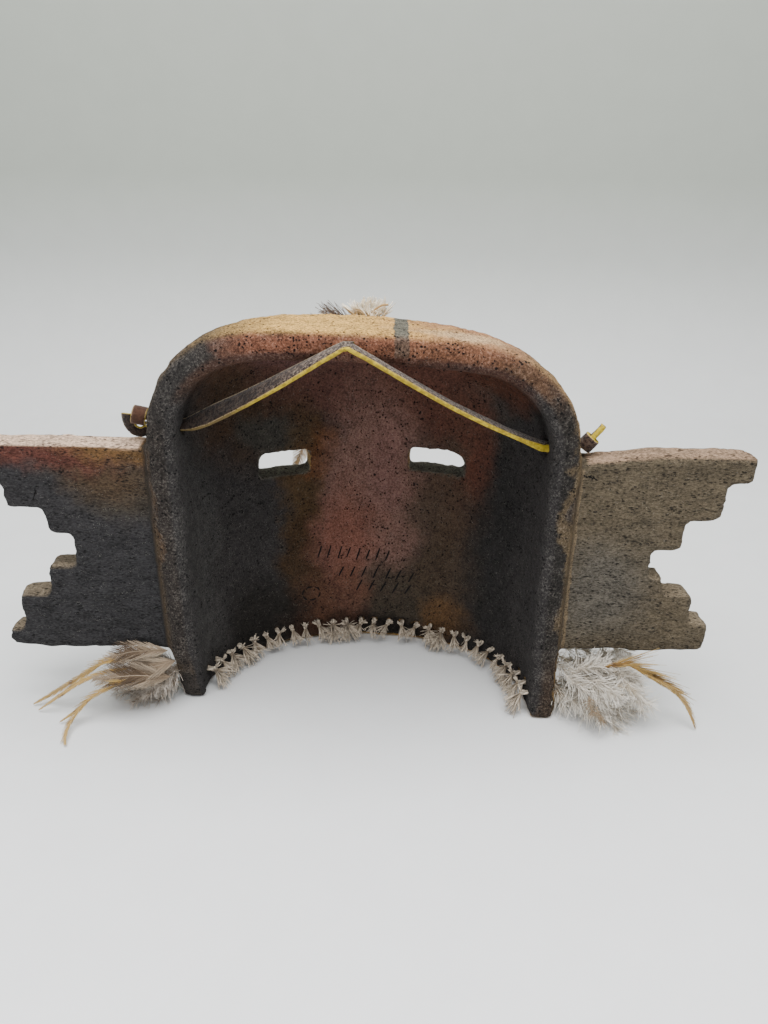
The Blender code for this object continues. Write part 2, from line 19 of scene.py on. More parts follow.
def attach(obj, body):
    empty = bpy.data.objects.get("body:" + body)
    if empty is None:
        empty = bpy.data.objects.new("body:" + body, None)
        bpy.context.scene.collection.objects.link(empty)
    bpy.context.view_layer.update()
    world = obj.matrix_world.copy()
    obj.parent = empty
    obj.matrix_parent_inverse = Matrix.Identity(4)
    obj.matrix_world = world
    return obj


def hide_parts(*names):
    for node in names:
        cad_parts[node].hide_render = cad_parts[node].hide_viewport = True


bl_info = {
    "name": "Smoke-fired clay mask",
    "version": (1, 0, 0),
    "blender": (4, 5, 0),
    "location": "View3D > Sidebar > Mask",
    "description": "Clay, leather, cotton and feathers of a hand-built wall mask",
    "category": "Object",
}

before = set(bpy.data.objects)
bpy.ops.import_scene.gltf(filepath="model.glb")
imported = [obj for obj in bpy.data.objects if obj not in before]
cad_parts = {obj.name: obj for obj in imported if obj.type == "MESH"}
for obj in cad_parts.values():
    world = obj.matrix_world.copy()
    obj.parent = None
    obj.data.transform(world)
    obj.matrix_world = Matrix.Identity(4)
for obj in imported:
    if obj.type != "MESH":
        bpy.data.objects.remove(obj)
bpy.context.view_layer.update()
BODY = "root"

# The plane of the open back, the side walls' outer faces and the middle of the mask
BACK_Y = 0.0318
SIDE_X = 0.098
MIDDLE_X = -0.001
WALL = 0.014
UP = Vector((0, 0, 1))

# Corners in a fibre's ring, and the step that spreads tones evenly over fibres
RING = 4
GOLDEN = 0.6180339

# Room left under a fibre, the lowest point of the clay, and the steps of a wound strip
CLEARANCE = 0.0004
CLAY_LOWEST = 0.0001
WOUND_STEPS = 26

# The back edge is rounded by smoothing this deep and this often, and the left foot bends inboard
LIP_DEPTH = 0.012
LIP_ROUNDS = 12
FOOT_BEND = 0.0062
FOOT_HEIGHT = 0.034
FOOT_FRONT = 0.0205

# The lace's width and thickness where it goes through a wall
HOLE_WIDTH = 0.0050
HOLE_THICKNESS = 0.0036

# The lace's line from outside the +X wall, through its hole, over the peak and out of the -X wall
LACE_ROUTE = (
    (0.0976, 0.0158, 0.1480),
    (0.0900, 0.0158, 0.1480),
    (0.0820, 0.0158, 0.1480),
    (0.0738, 0.0195, 0.1516),
    (0.0445, 0.0308, 0.1683),
    (0.0126, 0.0370, 0.1872),
    (0.0061, 0.0377, 0.1901),
    (-0.0004, 0.0374, 0.1868),
    (-0.0395, 0.0308, 0.1632),
    (-0.0759, 0.0190, 0.1436),
    (-0.0840, 0.0158, 0.1400),
    (-0.0920, 0.0158, 0.1400),
    (-0.0996, 0.0158, 0.1400),
)
LACE_INSIDE_X = 0.084
LACE_TURN = math.radians(65)

# Camera: where it is, how far it looks down and leans, and its focal length in picture heights
EYE = Vector((-0.010, 0.3518, 0.262))
PITCH = math.radians(25)
ROLL = math.radians(0.8)
FOCAL = 770 / 1024
SENSOR = 36

# Stage: the floor's half width and front edge, and the backdrop's place, curve and height
FLOOR_HALF = 2.2
FLOOR_FRONT = 1.6
BACKDROP_Y = -0.42
BACKDROP_CURVE = 0.16
BACKDROP_RISE = 1.6


def clamped(value):
    return min(max(value, 0.0), 1.0)


def any_way(rng):
    return Vector((rng.uniform(-1, 1), rng.uniform(-1, 1), rng.uniform(-1, 1)))


# Meshes


def collect(name, mesh, *materials):
    """An object for a finished mesh, in the scene and with its materials."""
    made = bpy.data.objects.new(name, mesh)
    bpy.context.scene.collection.objects.link(made)
    for finish in materials:
        mesh.materials.append(finish)
    return made


def settle(made, slot, *nodes):
    """The piece moves with the mask and stands for CAD nodes; the slot is not used."""
    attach(made, BODY)
    if nodes:
        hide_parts(*nodes)
    return made


def applied(holder, name):
    """The mesh that an object's modifiers or curve settings give, with the object removed."""
    graph = bpy.context.evaluated_depsgraph_get()
    mesh = bpy.data.meshes.new_from_object(holder.evaluated_get(graph))
    mesh.name = name
    bpy.data.objects.remove(holder, do_unlink=True)
    return mesh


def coordinates(mesh):
    values = np.zeros(len(mesh.vertices) * 3)
    mesh.vertices.foreach_get("co", values)
    return values.reshape(-1, 3)


def paint(mesh, name, values):
    """A number for each vertex that a material reads by name."""
    layer = mesh.attributes.new(name, "FLOAT", "POINT")
    layer.data.foreach_set("value", np.asarray(values, dtype=np.float32))


def smoothed(knots, steps):
    """Points along a Catmull-Rom curve through the knots, with steps points between two knots."""
    knots = [Vector(knot) for knot in knots]
    padded = [knots[0] * 2 - knots[1], *knots, knots[-1] * 2 - knots[-2]]
    path = []
    for a, b, c, d in zip(padded, padded[1:], padded[2:], padded[3:]):
        bend = a * 2 - b * 5 + c * 4 - d
        twist = b * 3 - a - c * 3 + d
        for step in range(steps):
            t = step / steps
            path.append((b * 2 + (c - a) * t + bend * t**2 + twist * t**3) / 2)
    path.append(knots[-1].copy())
    return path


def fibres(name, paths, *materials, marks=None):
    """Fine round fibres as one mesh. A path is a list of points, each with its radius as a fourth number.

    Marks are numbers from 0 to 1, one for each path, that a material may read for a second colour.
    """
    curve = bpy.data.curves.new(name, "CURVE")
    curve.dimensions = "3D"
    curve.bevel_depth = 1.0
    curve.bevel_resolution = 0
    curve.use_fill_caps = True
    for path in paths:
        spline = curve.splines.new("POLY")
        spline.points.add(len(path) - 1)
        spots = np.ones((len(path), 4))
        spots[:, :3] = [point[:3] for point in path]
        spline.points.foreach_set("co", spots.ravel())
        spline.points.foreach_set("radius", [point[3] for point in path])
    holder = bpy.data.objects.new(name, curve)
    bpy.context.scene.collection.objects.link(holder)
    mesh = applied(holder, name)
    bpy.data.curves.remove(curve)
    # The mesh has the end caps first, last path first, and then the rings of the paths in order
    tones = [index * GOLDEN % 1.0 for index in range(len(paths))]
    strand = [tone for tone in reversed(tones) for _ in range(2 * RING)]
    along = ([1.0] * RING + [0.0] * RING) * len(paths)
    for tone, path in zip(tones, paths):
        strand += [tone] * (len(path) * RING)
        for step in range(len(path)):
            along += [step / (len(path) - 1)] * RING
    paint(mesh, "strand", strand)
    paint(mesh, "along", along)
    if marks is not None:
        mark = [value for value in reversed(marks) for _ in range(2 * RING)]
        for value, path in zip(marks, paths):
            mark += [value] * (len(path) * RING)
        paint(mesh, "mark", mark)
    mesh.shade_smooth()
    return collect(name, mesh, *materials)


def above_floor(point, radius):
    """The point, lifted where a fibre of that radius would sink into what the mask stands on."""
    return Vector((point.x, point.y, max(point.z, radius + CLEARANCE)))


def wisp(rng, start, direction, length, radius, wave=0.1, droop=0.0, points=5, tip=0.35):
    """One soft fibre that wanders by wave and falls by droop, both in shares of its length."""
    path = []
    spot = Vector(start)
    heading = Vector(direction).normalized()
    for step in range(points):
        share = step / (points - 1)
        thick = radius * (1 - (1 - tip) * share)
        spot = above_floor(spot, thick)
        path.append((*spot, thick))
        wander = any_way(rng) * wave
        heading = (heading + wander - UP * droop * share).normalized()
        spot = spot + heading * length / (points - 1)
    return path


# Materials


def put(tree, kind, inputs=None, **settings):
    """Places one node, with its settings and with a value or a link for each named input."""
    node = tree.nodes.new("ShaderNode" + kind)
    for key, value in settings.items():
        setattr(node, key, value)
    for key, value in (inputs or {}).items():
        if isinstance(value, bpy.types.NodeSocket):
            tree.links.new(value, node.inputs[key])
        else:
            node.inputs[key].default_value = value
    return node


def number(tree, operation, *values, clamp=False):
    node = put(tree, "Math", dict(enumerate(values)), operation=operation, use_clamp=clamp)
    return node.outputs[0]


def vector(tree, operation, *values):
    node = put(tree, "VectorMath", dict(enumerate(values)), operation=operation)
    return node.outputs["Value" if operation in ("LENGTH", "DOT_PRODUCT") else "Vector"]


def scaled(tree, value, factor):
    return put(tree, "VectorMath", {0: value, "Scale": factor}, operation="SCALE").outputs["Vector"]


def here(tree):
    """The place on the piece, in its own frame."""
    return put(tree, "TexCoord").outputs["Object"]


def axis_of(tree, place, axis):
    return put(tree, "SeparateXYZ", {0: place}).outputs[axis]


def bumped(tree, shader, height, strength, distance):
    """Lets the shader's surface stand out by a height."""
    bump = put(tree, "Bump", {"Height": height, "Strength": strength, "Distance": distance})
    tree.links.new(bump.outputs["Normal"], shader.inputs["Normal"])


def spread(tree, value, low, high, first=0.0, last=1.0, curve="SMOOTHSTEP"):
    inputs = {"Value": value, "From Min": low, "From Max": high, "To Min": first, "To Max": last}
    return put(tree, "MapRange", inputs, interpolation_type=curve).outputs[0]


def blended(tree, share, under, over):
    """One colour over another; colours are sockets or three numbers."""
    under, over = [
        item if isinstance(item, bpy.types.NodeSocket) else (*item, 1.0) for item in (under, over)
    ]
    return put(tree, "Mix", {0: share, 6: under, 7: over}, data_type="RGBA").outputs[2]


def grained(tree, place, scale, detail=4.0, roughness=0.55):
    inputs = {"Vector": place, "Scale": scale, "Detail": detail, "Roughness": roughness}
    return put(tree, "TexNoise", inputs)


def read(tree, name):
    return put(tree, "Attribute", attribute_name=name).outputs["Fac"]


def group(name, inputs, outputs):
    """An empty node group with named sockets; returns it with its input and output nodes."""
    tree = bpy.data.node_groups.new(name, "ShaderNodeTree")
    for label, kind, value in inputs:
        socket = tree.interface.new_socket(label, in_out="INPUT", socket_type="NodeSocket" + kind)
        socket.default_value = value
    for label, kind in outputs:
        tree.interface.new_socket(label, in_out="OUTPUT", socket_type="NodeSocket" + kind)
    return tree, tree.nodes.new("NodeGroupInput").outputs, tree.nodes.new("NodeGroupOutput").inputs


def placed(tree, made, **inputs):
    """A group's node in a material, with its own values."""
    node = tree.nodes.new("ShaderNodeGroup")
    node.node_tree = made
    for key, value in inputs.items():
        key = key.replace("_", " ").capitalize()
        if isinstance(value, bpy.types.NodeSocket):
            tree.links.new(value, node.inputs[key])
        else:
            node.inputs[key].default_value = value
    return node


def cloud_group():
    """A soft-edged cloud of smoke or colour round a centre."""
    tree, inputs, outputs = group(
        "smoke cloud",
        [
            ("Place", "Vector", (0, 0, 0)),
            ("Centre", "Vector", (0, 0, 0)),
            ("Reach", "Vector", (0.02, 0.02, 0.02)),
            ("Softness", "Float", 0.4),
            ("Strength", "Float", 1.0),
        ],
        [("Mask", "Float")],
    )
    offset = vector(tree, "SUBTRACT", inputs["Place"], inputs["Centre"])
    distance = vector(tree, "LENGTH", vector(tree, "DIVIDE", offset, inputs["Reach"]))
    outer = number(tree, "ADD", 1.0, inputs["Softness"])
    inner = number(tree, "SUBTRACT", 1.0, inputs["Softness"])
    mask = spread(tree, distance, outer, inner)
    tree.links.new(number(tree, "MULTIPLY", mask, inputs["Strength"]), outputs["Mask"])
    return tree


def crack_group():
    """A line between two points that a wandering place makes ragged, for cracks, seams and painted bands."""
    tree, inputs, outputs = group(
        "ragged line",
        [
            ("Place", "Vector", (0, 0, 0)),
            ("Start", "Vector", (0, 0, 0)),
            ("End", "Vector", (0.01, 0, 0)),
            ("Width", "Float", 0.001),
            ("Edge", "Float", 0.0005),
        ],
        [("Mask", "Float")],
    )
    along = vector(tree, "SUBTRACT", inputs["End"], inputs["Start"])
    offset = vector(tree, "SUBTRACT", inputs["Place"], inputs["Start"])
    square = vector(tree, "DOT_PRODUCT", along, along)
    share = number(tree, "DIVIDE", vector(tree, "DOT_PRODUCT", offset, along), square, clamp=True)
    nearest = scaled(tree, along, share)
    distance = vector(tree, "LENGTH", vector(tree, "SUBTRACT", offset, nearest))
    outer = number(tree, "ADD", inputs["Width"], inputs["Edge"])
    mask = spread(tree, distance, outer, inputs["Width"])
    tree.links.new(mask, outputs["Mask"])
    return tree


def grog_group():
    """The grain of coarse fired clay: dark pores, pale grog, a mottle and the height of all of them."""
    tree, inputs, outputs = group(
        "grogged clay",
        [
            ("Place", "Vector", (0, 0, 0)),
            ("Pore", "Float", 0.0016),
            ("Crowding", "Float", 0.5),
            ("Stretch", "Vector", (1, 1, 1)),
        ],
        [("Pores", "Float"), ("Grog", "Float"), ("Mottle", "Float"), ("Height", "Float")],
    )
    stretched = vector(tree, "MULTIPLY", inputs["Place"], inputs["Stretch"])
    sway = scaled(tree, grained(tree, stretched, 420.0, 2.0).outputs["Color"], 0.0016)
    swayed = vector(tree, "ADD", stretched, sway)
    scale = number(tree, "DIVIDE", 1.0, inputs["Pore"])
    cells = put(tree, "TexVoronoi", {"Vector": swayed, "Scale": scale, "Randomness": 1.0})
    few = spread(tree, grained(tree, stretched, 260.0, 3.0).outputs["Fac"], inputs["Crowding"], 0.72)
    edge = number(tree, "MULTIPLY_ADD", few, 0.42, 0.03)
    pores = spread(tree, cells.outputs["Distance"], edge, number(tree, "MULTIPLY", edge, 0.55))
    fine = put(tree, "TexVoronoi", {"Vector": swayed, "Scale": 1700.0, "Randomness": 1.0})
    grog = spread(tree, fine.outputs["Distance"], 0.30, 0.12)
    grog = number(tree, "MULTIPLY", grog, spread(tree, cells.outputs["Color"], 0.62, 0.80))
    coarse = grained(tree, stretched, 150.0, 5.0, 0.65).outputs["Fac"]
    sand = grained(tree, stretched, 1000.0, 4.0, 0.75).outputs["Fac"]
    mottle = number(tree, "ADD", number(tree, "MULTIPLY", coarse, 0.25), number(tree, "MULTIPLY", sand, 0.75))
    height = number(tree, "MULTIPLY_ADD", pores, -1.0, mottle)
    for name, socket in (("Pores", pores), ("Grog", grog), ("Mottle", mottle), ("Height", height)):
        tree.links.new(socket, outputs[name])
    return tree


def finish_material(name, roughness, sheen=0.0, specular=0.3):
    """A new material with its node tree and shader."""
    made = bpy.data.materials.new(name)
    made.use_nodes = True
    shader = made.node_tree.nodes["Principled BSDF"]
    shader.inputs["Roughness"].default_value = roughness
    shader.inputs["Specular IOR Level"].default_value = specular
    shader.inputs["Sheen Weight"].default_value = sheen
    return made, made.node_tree, shader


# Clouds inside the hollow: centre, reach, softness, strength and colour, one over the other
INNER_CLOUDS = (
    ((0.050, -0.020, 0.150), (0.040, 0.040, 0.034), 0.35, 0.9, (0.042, 0.023, 0.012)),
    ((0.060, 0.000, 0.175), (0.030, 0.030, 0.014), 0.5, 0.8, (0.062, 0.032, 0.018)),
    ((0.008, -0.030, 0.160), (0.044, 0.040, 0.028), 0.40, 0.95, (0.088, 0.040, 0.030)),
    ((0.000, 0.000, 0.184), (0.070, 0.050, 0.018), 0.45, 0.9, (0.105, 0.044, 0.028)),
    ((0.030, -0.010, 0.172), (0.022, 0.040, 0.012), 0.5, 0.7, (0.100, 0.052, 0.050)),
    ((-0.036, -0.036, 0.150), (0.034, 0.030, 0.030), 0.40, 0.9, (0.088, 0.036, 0.024)),
    ((-0.062, -0.004, 0.168), (0.026, 0.036, 0.018), 0.40, 0.95, (0.070, 0.026, 0.014)),
    ((-0.060, -0.022, 0.140), (0.018, 0.018, 0.016), 0.5, 0.7, (0.052, 0.047, 0.040)),
    ((0.051, -0.029, 0.127), (0.017, 0.014, 0.009), 0.5, 0.8, (0.036, 0.036, 0.031)),
    ((0.033, -0.034, 0.100), (0.010, 0.022, 0.034), 0.5, 0.8, (0.064, 0.036, 0.013)),
    ((0.034, -0.030, 0.050), (0.011, 0.022, 0.034), 0.5, 0.8, (0.046, 0.024, 0.009)),
    ((0.026, -0.036, 0.115), (0.009, 0.020, 0.012), 0.5, 0.75, (0.110, 0.044, 0.017)),
    ((0.036, -0.028, 0.012), (0.016, 0.022, 0.016), 0.5, 0.8, (0.075, 0.030, 0.014)),
    ((-0.004, -0.038, 0.085), (0.029, 0.020, 0.064), 0.32, 0.97, (0.158, 0.086, 0.067)),
    ((0.011, -0.037, 0.066), (0.016, 0.020, 0.030), 0.6, 0.75, (0.170, 0.066, 0.044)),
    ((-0.012, -0.038, 0.108), (0.010, 0.020, 0.022), 0.7, 0.5, (0.150, 0.074, 0.064)),
    ((-0.046, -0.031, 0.092), (0.020, 0.018, 0.034), 0.45, 0.85, (0.072, 0.042, 0.026)),
    ((-0.030, -0.034, 0.078), (0.014, 0.018, 0.014), 0.6, 0.7, (0.062, 0.043, 0.030)),
    ((-0.056, -0.027, 0.112), (0.008, 0.016, 0.024), 0.6, 0.85, (0.100, 0.036, 0.022)),
    ((-0.052, -0.030, 0.140), (0.016, 0.018, 0.014), 0.5, 0.7, (0.092, 0.036, 0.022)),
    ((-0.018, -0.035, 0.030), (0.024, 0.018, 0.022), 0.45, 0.9, (0.045, 0.035, 0.024)),
    ((-0.044, -0.027, 0.045), (0.018, 0.020, 0.030), 0.5, 0.8, (0.058, 0.038, 0.023)),
    ((-0.046, -0.024, 0.016), (0.016, 0.018, 0.014), 0.5, 0.85, (0.105, 0.056, 0.024)),
    # The next two: a near-black band along the foot inside, behind the ties: painted shade
    ((0.006, -0.033, 0.008), (0.028, 0.018, 0.008), 0.4, 0.85, (0.012, 0.009, 0.007)),
    ((-0.020, -0.032, 0.006), (0.024, 0.018, 0.007), 0.4, 0.85, (0.012, 0.009, 0.007)),
    ((0.012, -0.036, 0.030), (0.015, 0.018, 0.020), 0.5, 0.7, (0.115, 0.050, 0.030)),
    ((0.030, -0.032, 0.026), (0.012, 0.018, 0.018), 0.5, 0.8, (0.090, 0.042, 0.025)),
    ((0.040, -0.029, 0.100), (0.006, 0.018, 0.022), 0.6, 0.6, (0.070, 0.042, 0.020)),
    # Near-black patch at the foot inside the +X corner, behind the ties: painted shade
    ((0.055, -0.016, 0.020), (0.024, 0.024, 0.024), 0.5, 0.85, (0.013, 0.011, 0.009)),
    ((-0.066, -0.012, 0.070), (0.016, 0.020, 0.070), 0.5, 0.7, (0.017, 0.016, 0.015)),
    ((0.086, 0.010, 0.090), (0.014, 0.020, 0.080), 0.5, 0.6, (0.052, 0.050, 0.047)),
)

# Clouds on the rim and the outside
OUTER_CLOUDS = (
    ((0.075, 0.000, 0.150), (0.046, 0.070, 0.052), 0.35, 0.92, (0.035, 0.032, 0.031)),
    ((0.098, 0.000, 0.060), (0.030, 0.090, 0.100), 0.4, 0.9, (0.030, 0.028, 0.028)),
    ((-0.055, 0.000, 0.188), (0.040, 0.060, 0.012), 0.5, 0.8, (0.250, 0.115, 0.070)),
    ((-0.045, 0.018, 0.192), (0.024, 0.007, 0.010), 0.6, 0.8, (0.520, 0.360, 0.200)),
    ((-0.082, 0.010, 0.165), (0.024, 0.060, 0.024), 0.5, 0.8, (0.170, 0.105, 0.060)),
    ((-0.098, 0.000, 0.090), (0.030, 0.090, 0.070), 0.5, 0.8, (0.110, 0.085, 0.055)),
    ((-0.030, -0.060, 0.060), (0.050, 0.040, 0.060), 0.6, 0.7, (0.240, 0.100, 0.062)),
    ((0.040, -0.050, 0.030), (0.050, 0.050, 0.040), 0.5, 0.8, (0.048, 0.042, 0.039)),
    ((0.088, 0.030, 0.006), (0.020, 0.020, 0.016), 0.4, 0.95, (0.030, 0.026, 0.024)),
)
RIM_CLOUDS = (
    ((0.000, 0.032, 0.188), (0.066, 0.010, 0.010), 0.35, 0.95, (0.178, 0.069, 0.038)),
    ((-0.050, 0.032, 0.186), (0.034, 0.010, 0.012), 0.4, 0.9, (0.155, 0.068, 0.036)),
    ((-0.076, 0.032, 0.172), (0.014, 0.012, 0.014), 0.5, 0.9, (0.100, 0.052, 0.028)),
    ((0.084, 0.032, 0.172), (0.026, 0.014, 0.022), 0.35, 0.95, (0.032, 0.029, 0.027)),
    ((0.092, 0.032, 0.090), (0.009, 0.012, 0.080), 0.4, 0.9, (0.028, 0.023, 0.020)),
    ((-0.090, 0.032, 0.100), (0.012, 0.012, 0.070), 0.4, 0.9, (0.016, 0.0145, 0.013)),
    ((-0.0995, 0.030, 0.100), (0.0030, 0.012, 0.090), 0.5, 0.8, (0.105, 0.075, 0.042)),
    ((-0.096, 0.036, 0.012), (0.007, 0.014, 0.018), 0.5, 0.9, (0.042, 0.028, 0.019)),
    ((0.0995, 0.030, 0.120), (0.0035, 0.012, 0.050), 0.5, 0.7, (0.085, 0.050, 0.025)),
)
EAR_CLOUDS = (
    ((0.130, 0.024, 0.098), (0.090, 0.030, 0.044), 0.25, 1.0, (0.029, 0.0275, 0.0285)),
    ((0.130, 0.024, 0.050), (0.090, 0.030, 0.044), 0.25, 1.0, (0.027, 0.026, 0.027)),
    ((0.112, 0.026, 0.120), (0.024, 0.014, 0.014), 0.6, 0.7, (0.046, 0.036, 0.024)),
    ((0.124, 0.026, 0.1290), (0.024, 0.014, 0.012), 0.6, 0.8, (0.062, 0.038, 0.020)),
    ((0.155, 0.026, 0.1370), (0.048, 0.014, 0.0105), 0.45, 0.95, (0.088, 0.030, 0.021)),
    ((0.114, 0.026, 0.1375), (0.026, 0.014, 0.005), 0.6, 0.85, (0.120, 0.066, 0.024)),
    ((-0.118, 0.026, 0.066), (0.022, 0.016, 0.028), 0.6, 0.6, (0.078, 0.074, 0.066)),
)

# Cracks in the ears: start, end and width
CRACKS = (
    ((0.1360, 0.026, 0.1350), (0.1385, 0.026, 0.1265), 0.00025),
    ((0.1512, 0.026, 0.1200), (0.1545, 0.026, 0.1100), 0.00030),
    ((-0.1000, 0.027, 0.1310), (-0.1100, 0.026, 0.1250), 0.00030),
)

CHARCOAL = (0.031, 0.028, 0.027)
CREAM_SLIP = (0.560, 0.335, 0.098)
KHAKI = (0.092, 0.073, 0.047)
STRIPE = (0.112, 0.104, 0.080)
STRIPE_SHADE = (0.075, 0.060, 0.045)
# Crest colours: partly the ears' own pale tops, partly painted light on their upward faces
LEFT_CREST_AND_LIGHT = (0.560, 0.400, 0.290)
RIGHT_CREST_AND_LIGHT = (0.260, 0.175, 0.115)
SLOT_GREY = (0.125, 0.118, 0.095)
RIM_BROWN = (0.045, 0.035, 0.028)
# Painted light on the ears' upward-facing step tops
STEP_TOP_PAINTED_LIGHT = (0.215, 0.170, 0.115)
SEAM_TAN = (0.150, 0.110, 0.065)
PORE_BLACK = (0.003, 0.0025, 0.0025)
WHITE_GROG = (0.42, 0.39, 0.34)


def clay_material(cloud, line, grog):
    """Smoke-fired clay: soft clouds of colour over grogged clay with pores, cracks and a painted band."""
    made, tree, shader = finish_material("smoke-fired clay", 0.92, specular=0.22)
    place = here(tree)
    slow = grained(tree, place, 26.0, 3.0).outputs["Color"]
    quick = grained(tree, place, 110.0, 4.0, 0.65).outputs["Color"]
    half = (0.5, 0.5, 0.5)
    slow = scaled(tree, vector(tree, "SUBTRACT", slow, half), 0.030)
    quick = scaled(tree, vector(tree, "SUBTRACT", quick, half), 0.014)
    swayed = vector(tree, "ADD", vector(tree, "ADD", place, slow), quick)

    def layered(base, clouds, sway):
        colour = base
        for centre, reach, softness, strength, tint in clouds:
            mask = placed(
                tree, cloud, place=sway, centre=centre, reach=reach, softness=softness, strength=strength
            )
            colour = blended(tree, mask.outputs["Mask"], colour, tint)
        return colour

    inner = layered(CHARCOAL, INNER_CLOUDS, swayed)
    outer = layered(CREAM_SLIP, OUTER_CLOUDS, swayed)
    ragged = vector(tree, "ADD", place, scaled(tree, quick, 0.35))
    off_band = number(tree, "ABSOLUTE", number(tree, "ADD", axis_of(tree, ragged, "X"), 0.0165))
    high_up = spread(tree, axis_of(tree, ragged, "Z"), 0.168, 0.172)
    band = number(tree, "MULTIPLY", spread(tree, off_band, 0.0036, 0.0028), high_up)
    outer = blended(tree, band, outer, STRIPE)
    ear = layered(KHAKI, EAR_CLOUDS, swayed)
    leftward = spread(tree, axis_of(tree, ragged, "X"), -0.01, 0.01)
    # The ears' upward crest faces: partly their own pale colour, partly painted light
    ear = blended(tree, read(tree, "crest_and_painted_light"), ear, blended(tree, leftward, RIGHT_CREST_AND_LIGHT, LEFT_CREST_AND_LIGHT))
    sideways = number(tree, "ABSOLUTE", axis_of(tree, place, "X"))
    on_ear = spread(tree, sideways, SIDE_X - 0.0005, SIDE_X + 0.002)
    outer = blended(tree, on_ear, outer, ear)
    rim = layered(RIM_BROWN, RIM_CLOUDS, swayed)
    rim = blended(tree, number(tree, "MULTIPLY", band, 0.7), rim, STRIPE_SHADE)
    outer = blended(tree, read(tree, "rim"), outer, rim)
    seam = placed(
        tree, line, place=place, start=(-0.1000, 0.027, 0.132), end=(-0.1010, 0.027, 0.036), width=0.0011
    )
    outer = blended(tree, seam.outputs["Mask"], outer, SEAM_TAN)
    colour = blended(tree, read(tree, "hollow"), outer, inner)
    colour = blended(tree, read(tree, "slot"), colour, SLOT_GREY)
    # Lighter tan on the ears' upward step faces: painted light
    colour = blended(tree, number(tree, "MULTIPLY", read(tree, "step_tops_painted_light"), 0.75), colour, STEP_TOP_PAINTED_LIGHT)

    crowding = spread(tree, read(tree, "hollow"), 0.0, 1.0, 0.26, 0.34)
    stretch = blended(tree, on_ear, (1.0, 1.0, 1.0), (0.62, 1.35, 1.35))
    grain = placed(tree, grog, place=place, pore=0.0017, crowding=crowding, stretch=stretch)
    contrast = spread(tree, read(tree, "hollow"), 0.0, 1.0, 1.0, 0.80)
    contrast = number(tree, "ADD", contrast, number(tree, "MULTIPLY", read(tree, "rim"), 0.10))
    tone = spread(tree, grain.outputs["Mottle"], 0.40, 0.60, -0.55, 0.70, "LINEAR")
    tone = number(tree, "MULTIPLY_ADD", tone, contrast, 1.0)
    tone = number(tree, "MAXIMUM", tone, 0.12)
    toned = scaled(tree, colour, tone)
    speck = number(tree, "MULTIPLY", grain.outputs["Grog"], 0.35)
    high_rim = number(tree, "MULTIPLY", read(tree, "rim"), spread(tree, grain.outputs["Mottle"], 0.54, 0.60))
    speck = number(tree, "MAXIMUM", speck, number(tree, "MULTIPLY", high_rim, 0.12))
    toned = blended(tree, speck, toned, WHITE_GROG)
    dark = number(tree, "MULTIPLY", grain.outputs["Pores"], spread(tree, on_ear, 0.0, 1.0, 0.93, 0.72))
    toned = blended(tree, dark, toned, PORE_BLACK)
    for start, end, width in CRACKS:
        swayed_line = vector(tree, "ADD", place, quick)
        crack = placed(tree, line, place=swayed_line, start=start, end=end, width=width, edge=0.0005)
        toned = blended(tree, crack.outputs["Mask"], toned, PORE_BLACK)
    tree.links.new(toned, shader.inputs["Base Color"])
    bumped(tree, shader, grain.outputs["Height"], 1.0, 0.0016)
    return made


def suede_material(name, deep, dusty, nap_share):
    """A face of the lace: brown with light borders, and a grey nap that is rubbed off near +X."""
    made, tree, shader = finish_material(name, 0.95, sheen=0.15, specular=0.15)
    place = here(tree)
    nap = grained(tree, place, 760.0, 3.0, 0.75).outputs["Fac"]
    patch = grained(tree, place, 160.0, 3.0).outputs["Fac"]
    across = axis_of(tree, place, "X")
    rubbed = spread(tree, across, 0.008, 0.052, 1.0, 0.14)
    rubbed = number(tree, "MULTIPLY", rubbed, spread(tree, across, -0.101, -0.096, 0.08, 1.0))
    colour = blended(tree, spread(tree, patch, 0.35, 0.7), deep, dusty)
    dust = number(tree, "MULTIPLY", spread(tree, nap, 0.50, 0.60), number(tree, "MULTIPLY", rubbed, nap_share))
    colour = blended(tree, dust, colour, (0.235, 0.190, 0.148))
    gaps = number(tree, "MULTIPLY", spread(tree, nap, 0.50, 0.41), nap_share)
    colour = blended(tree, gaps, colour, (0.012, 0.007, 0.006))
    shade = spread(tree, across, 0.022, 0.060, 1.0, 0.45)
    colour = scaled(tree, colour, shade)
    border = spread(tree, read(tree, "border"), 0.84, 0.98)
    worn = number(tree, "MULTIPLY", border, spread(tree, nap, 0.36, 0.52))
    colour = blended(tree, number(tree, "MULTIPLY", worn, 0.75), colour, (0.40, 0.29, 0.15))
    tree.links.new(colour, shader.inputs["Base Color"])
    bumped(tree, shader, nap, 0.9, 0.0005)
    return made


def cut_edge_material():
    """The lace's cut edge, yellow tanned hide."""
    made, tree, shader = finish_material("cut lace edge", 0.70, specular=0.3)
    place = here(tree)
    streak = grained(tree, place, 500.0, 3.0, 0.6).outputs["Fac"]
    colour = blended(tree, spread(tree, streak, 0.36, 0.66), (0.28, 0.195, 0.012), (0.50, 0.37, 0.030))
    across = axis_of(tree, place, "X")
    darker = number(tree, "MULTIPLY", spread(tree, across, 0.040, 0.062), spread(tree, across, 0.092, 0.088))
    colour = blended(tree, number(tree, "MULTIPLY", darker, 0.85), colour, (0.075, 0.048, 0.026))
    tree.links.new(colour, shader.inputs["Base Color"])
    bumped(tree, shader, streak, 0.4, 0.0002)
    return made


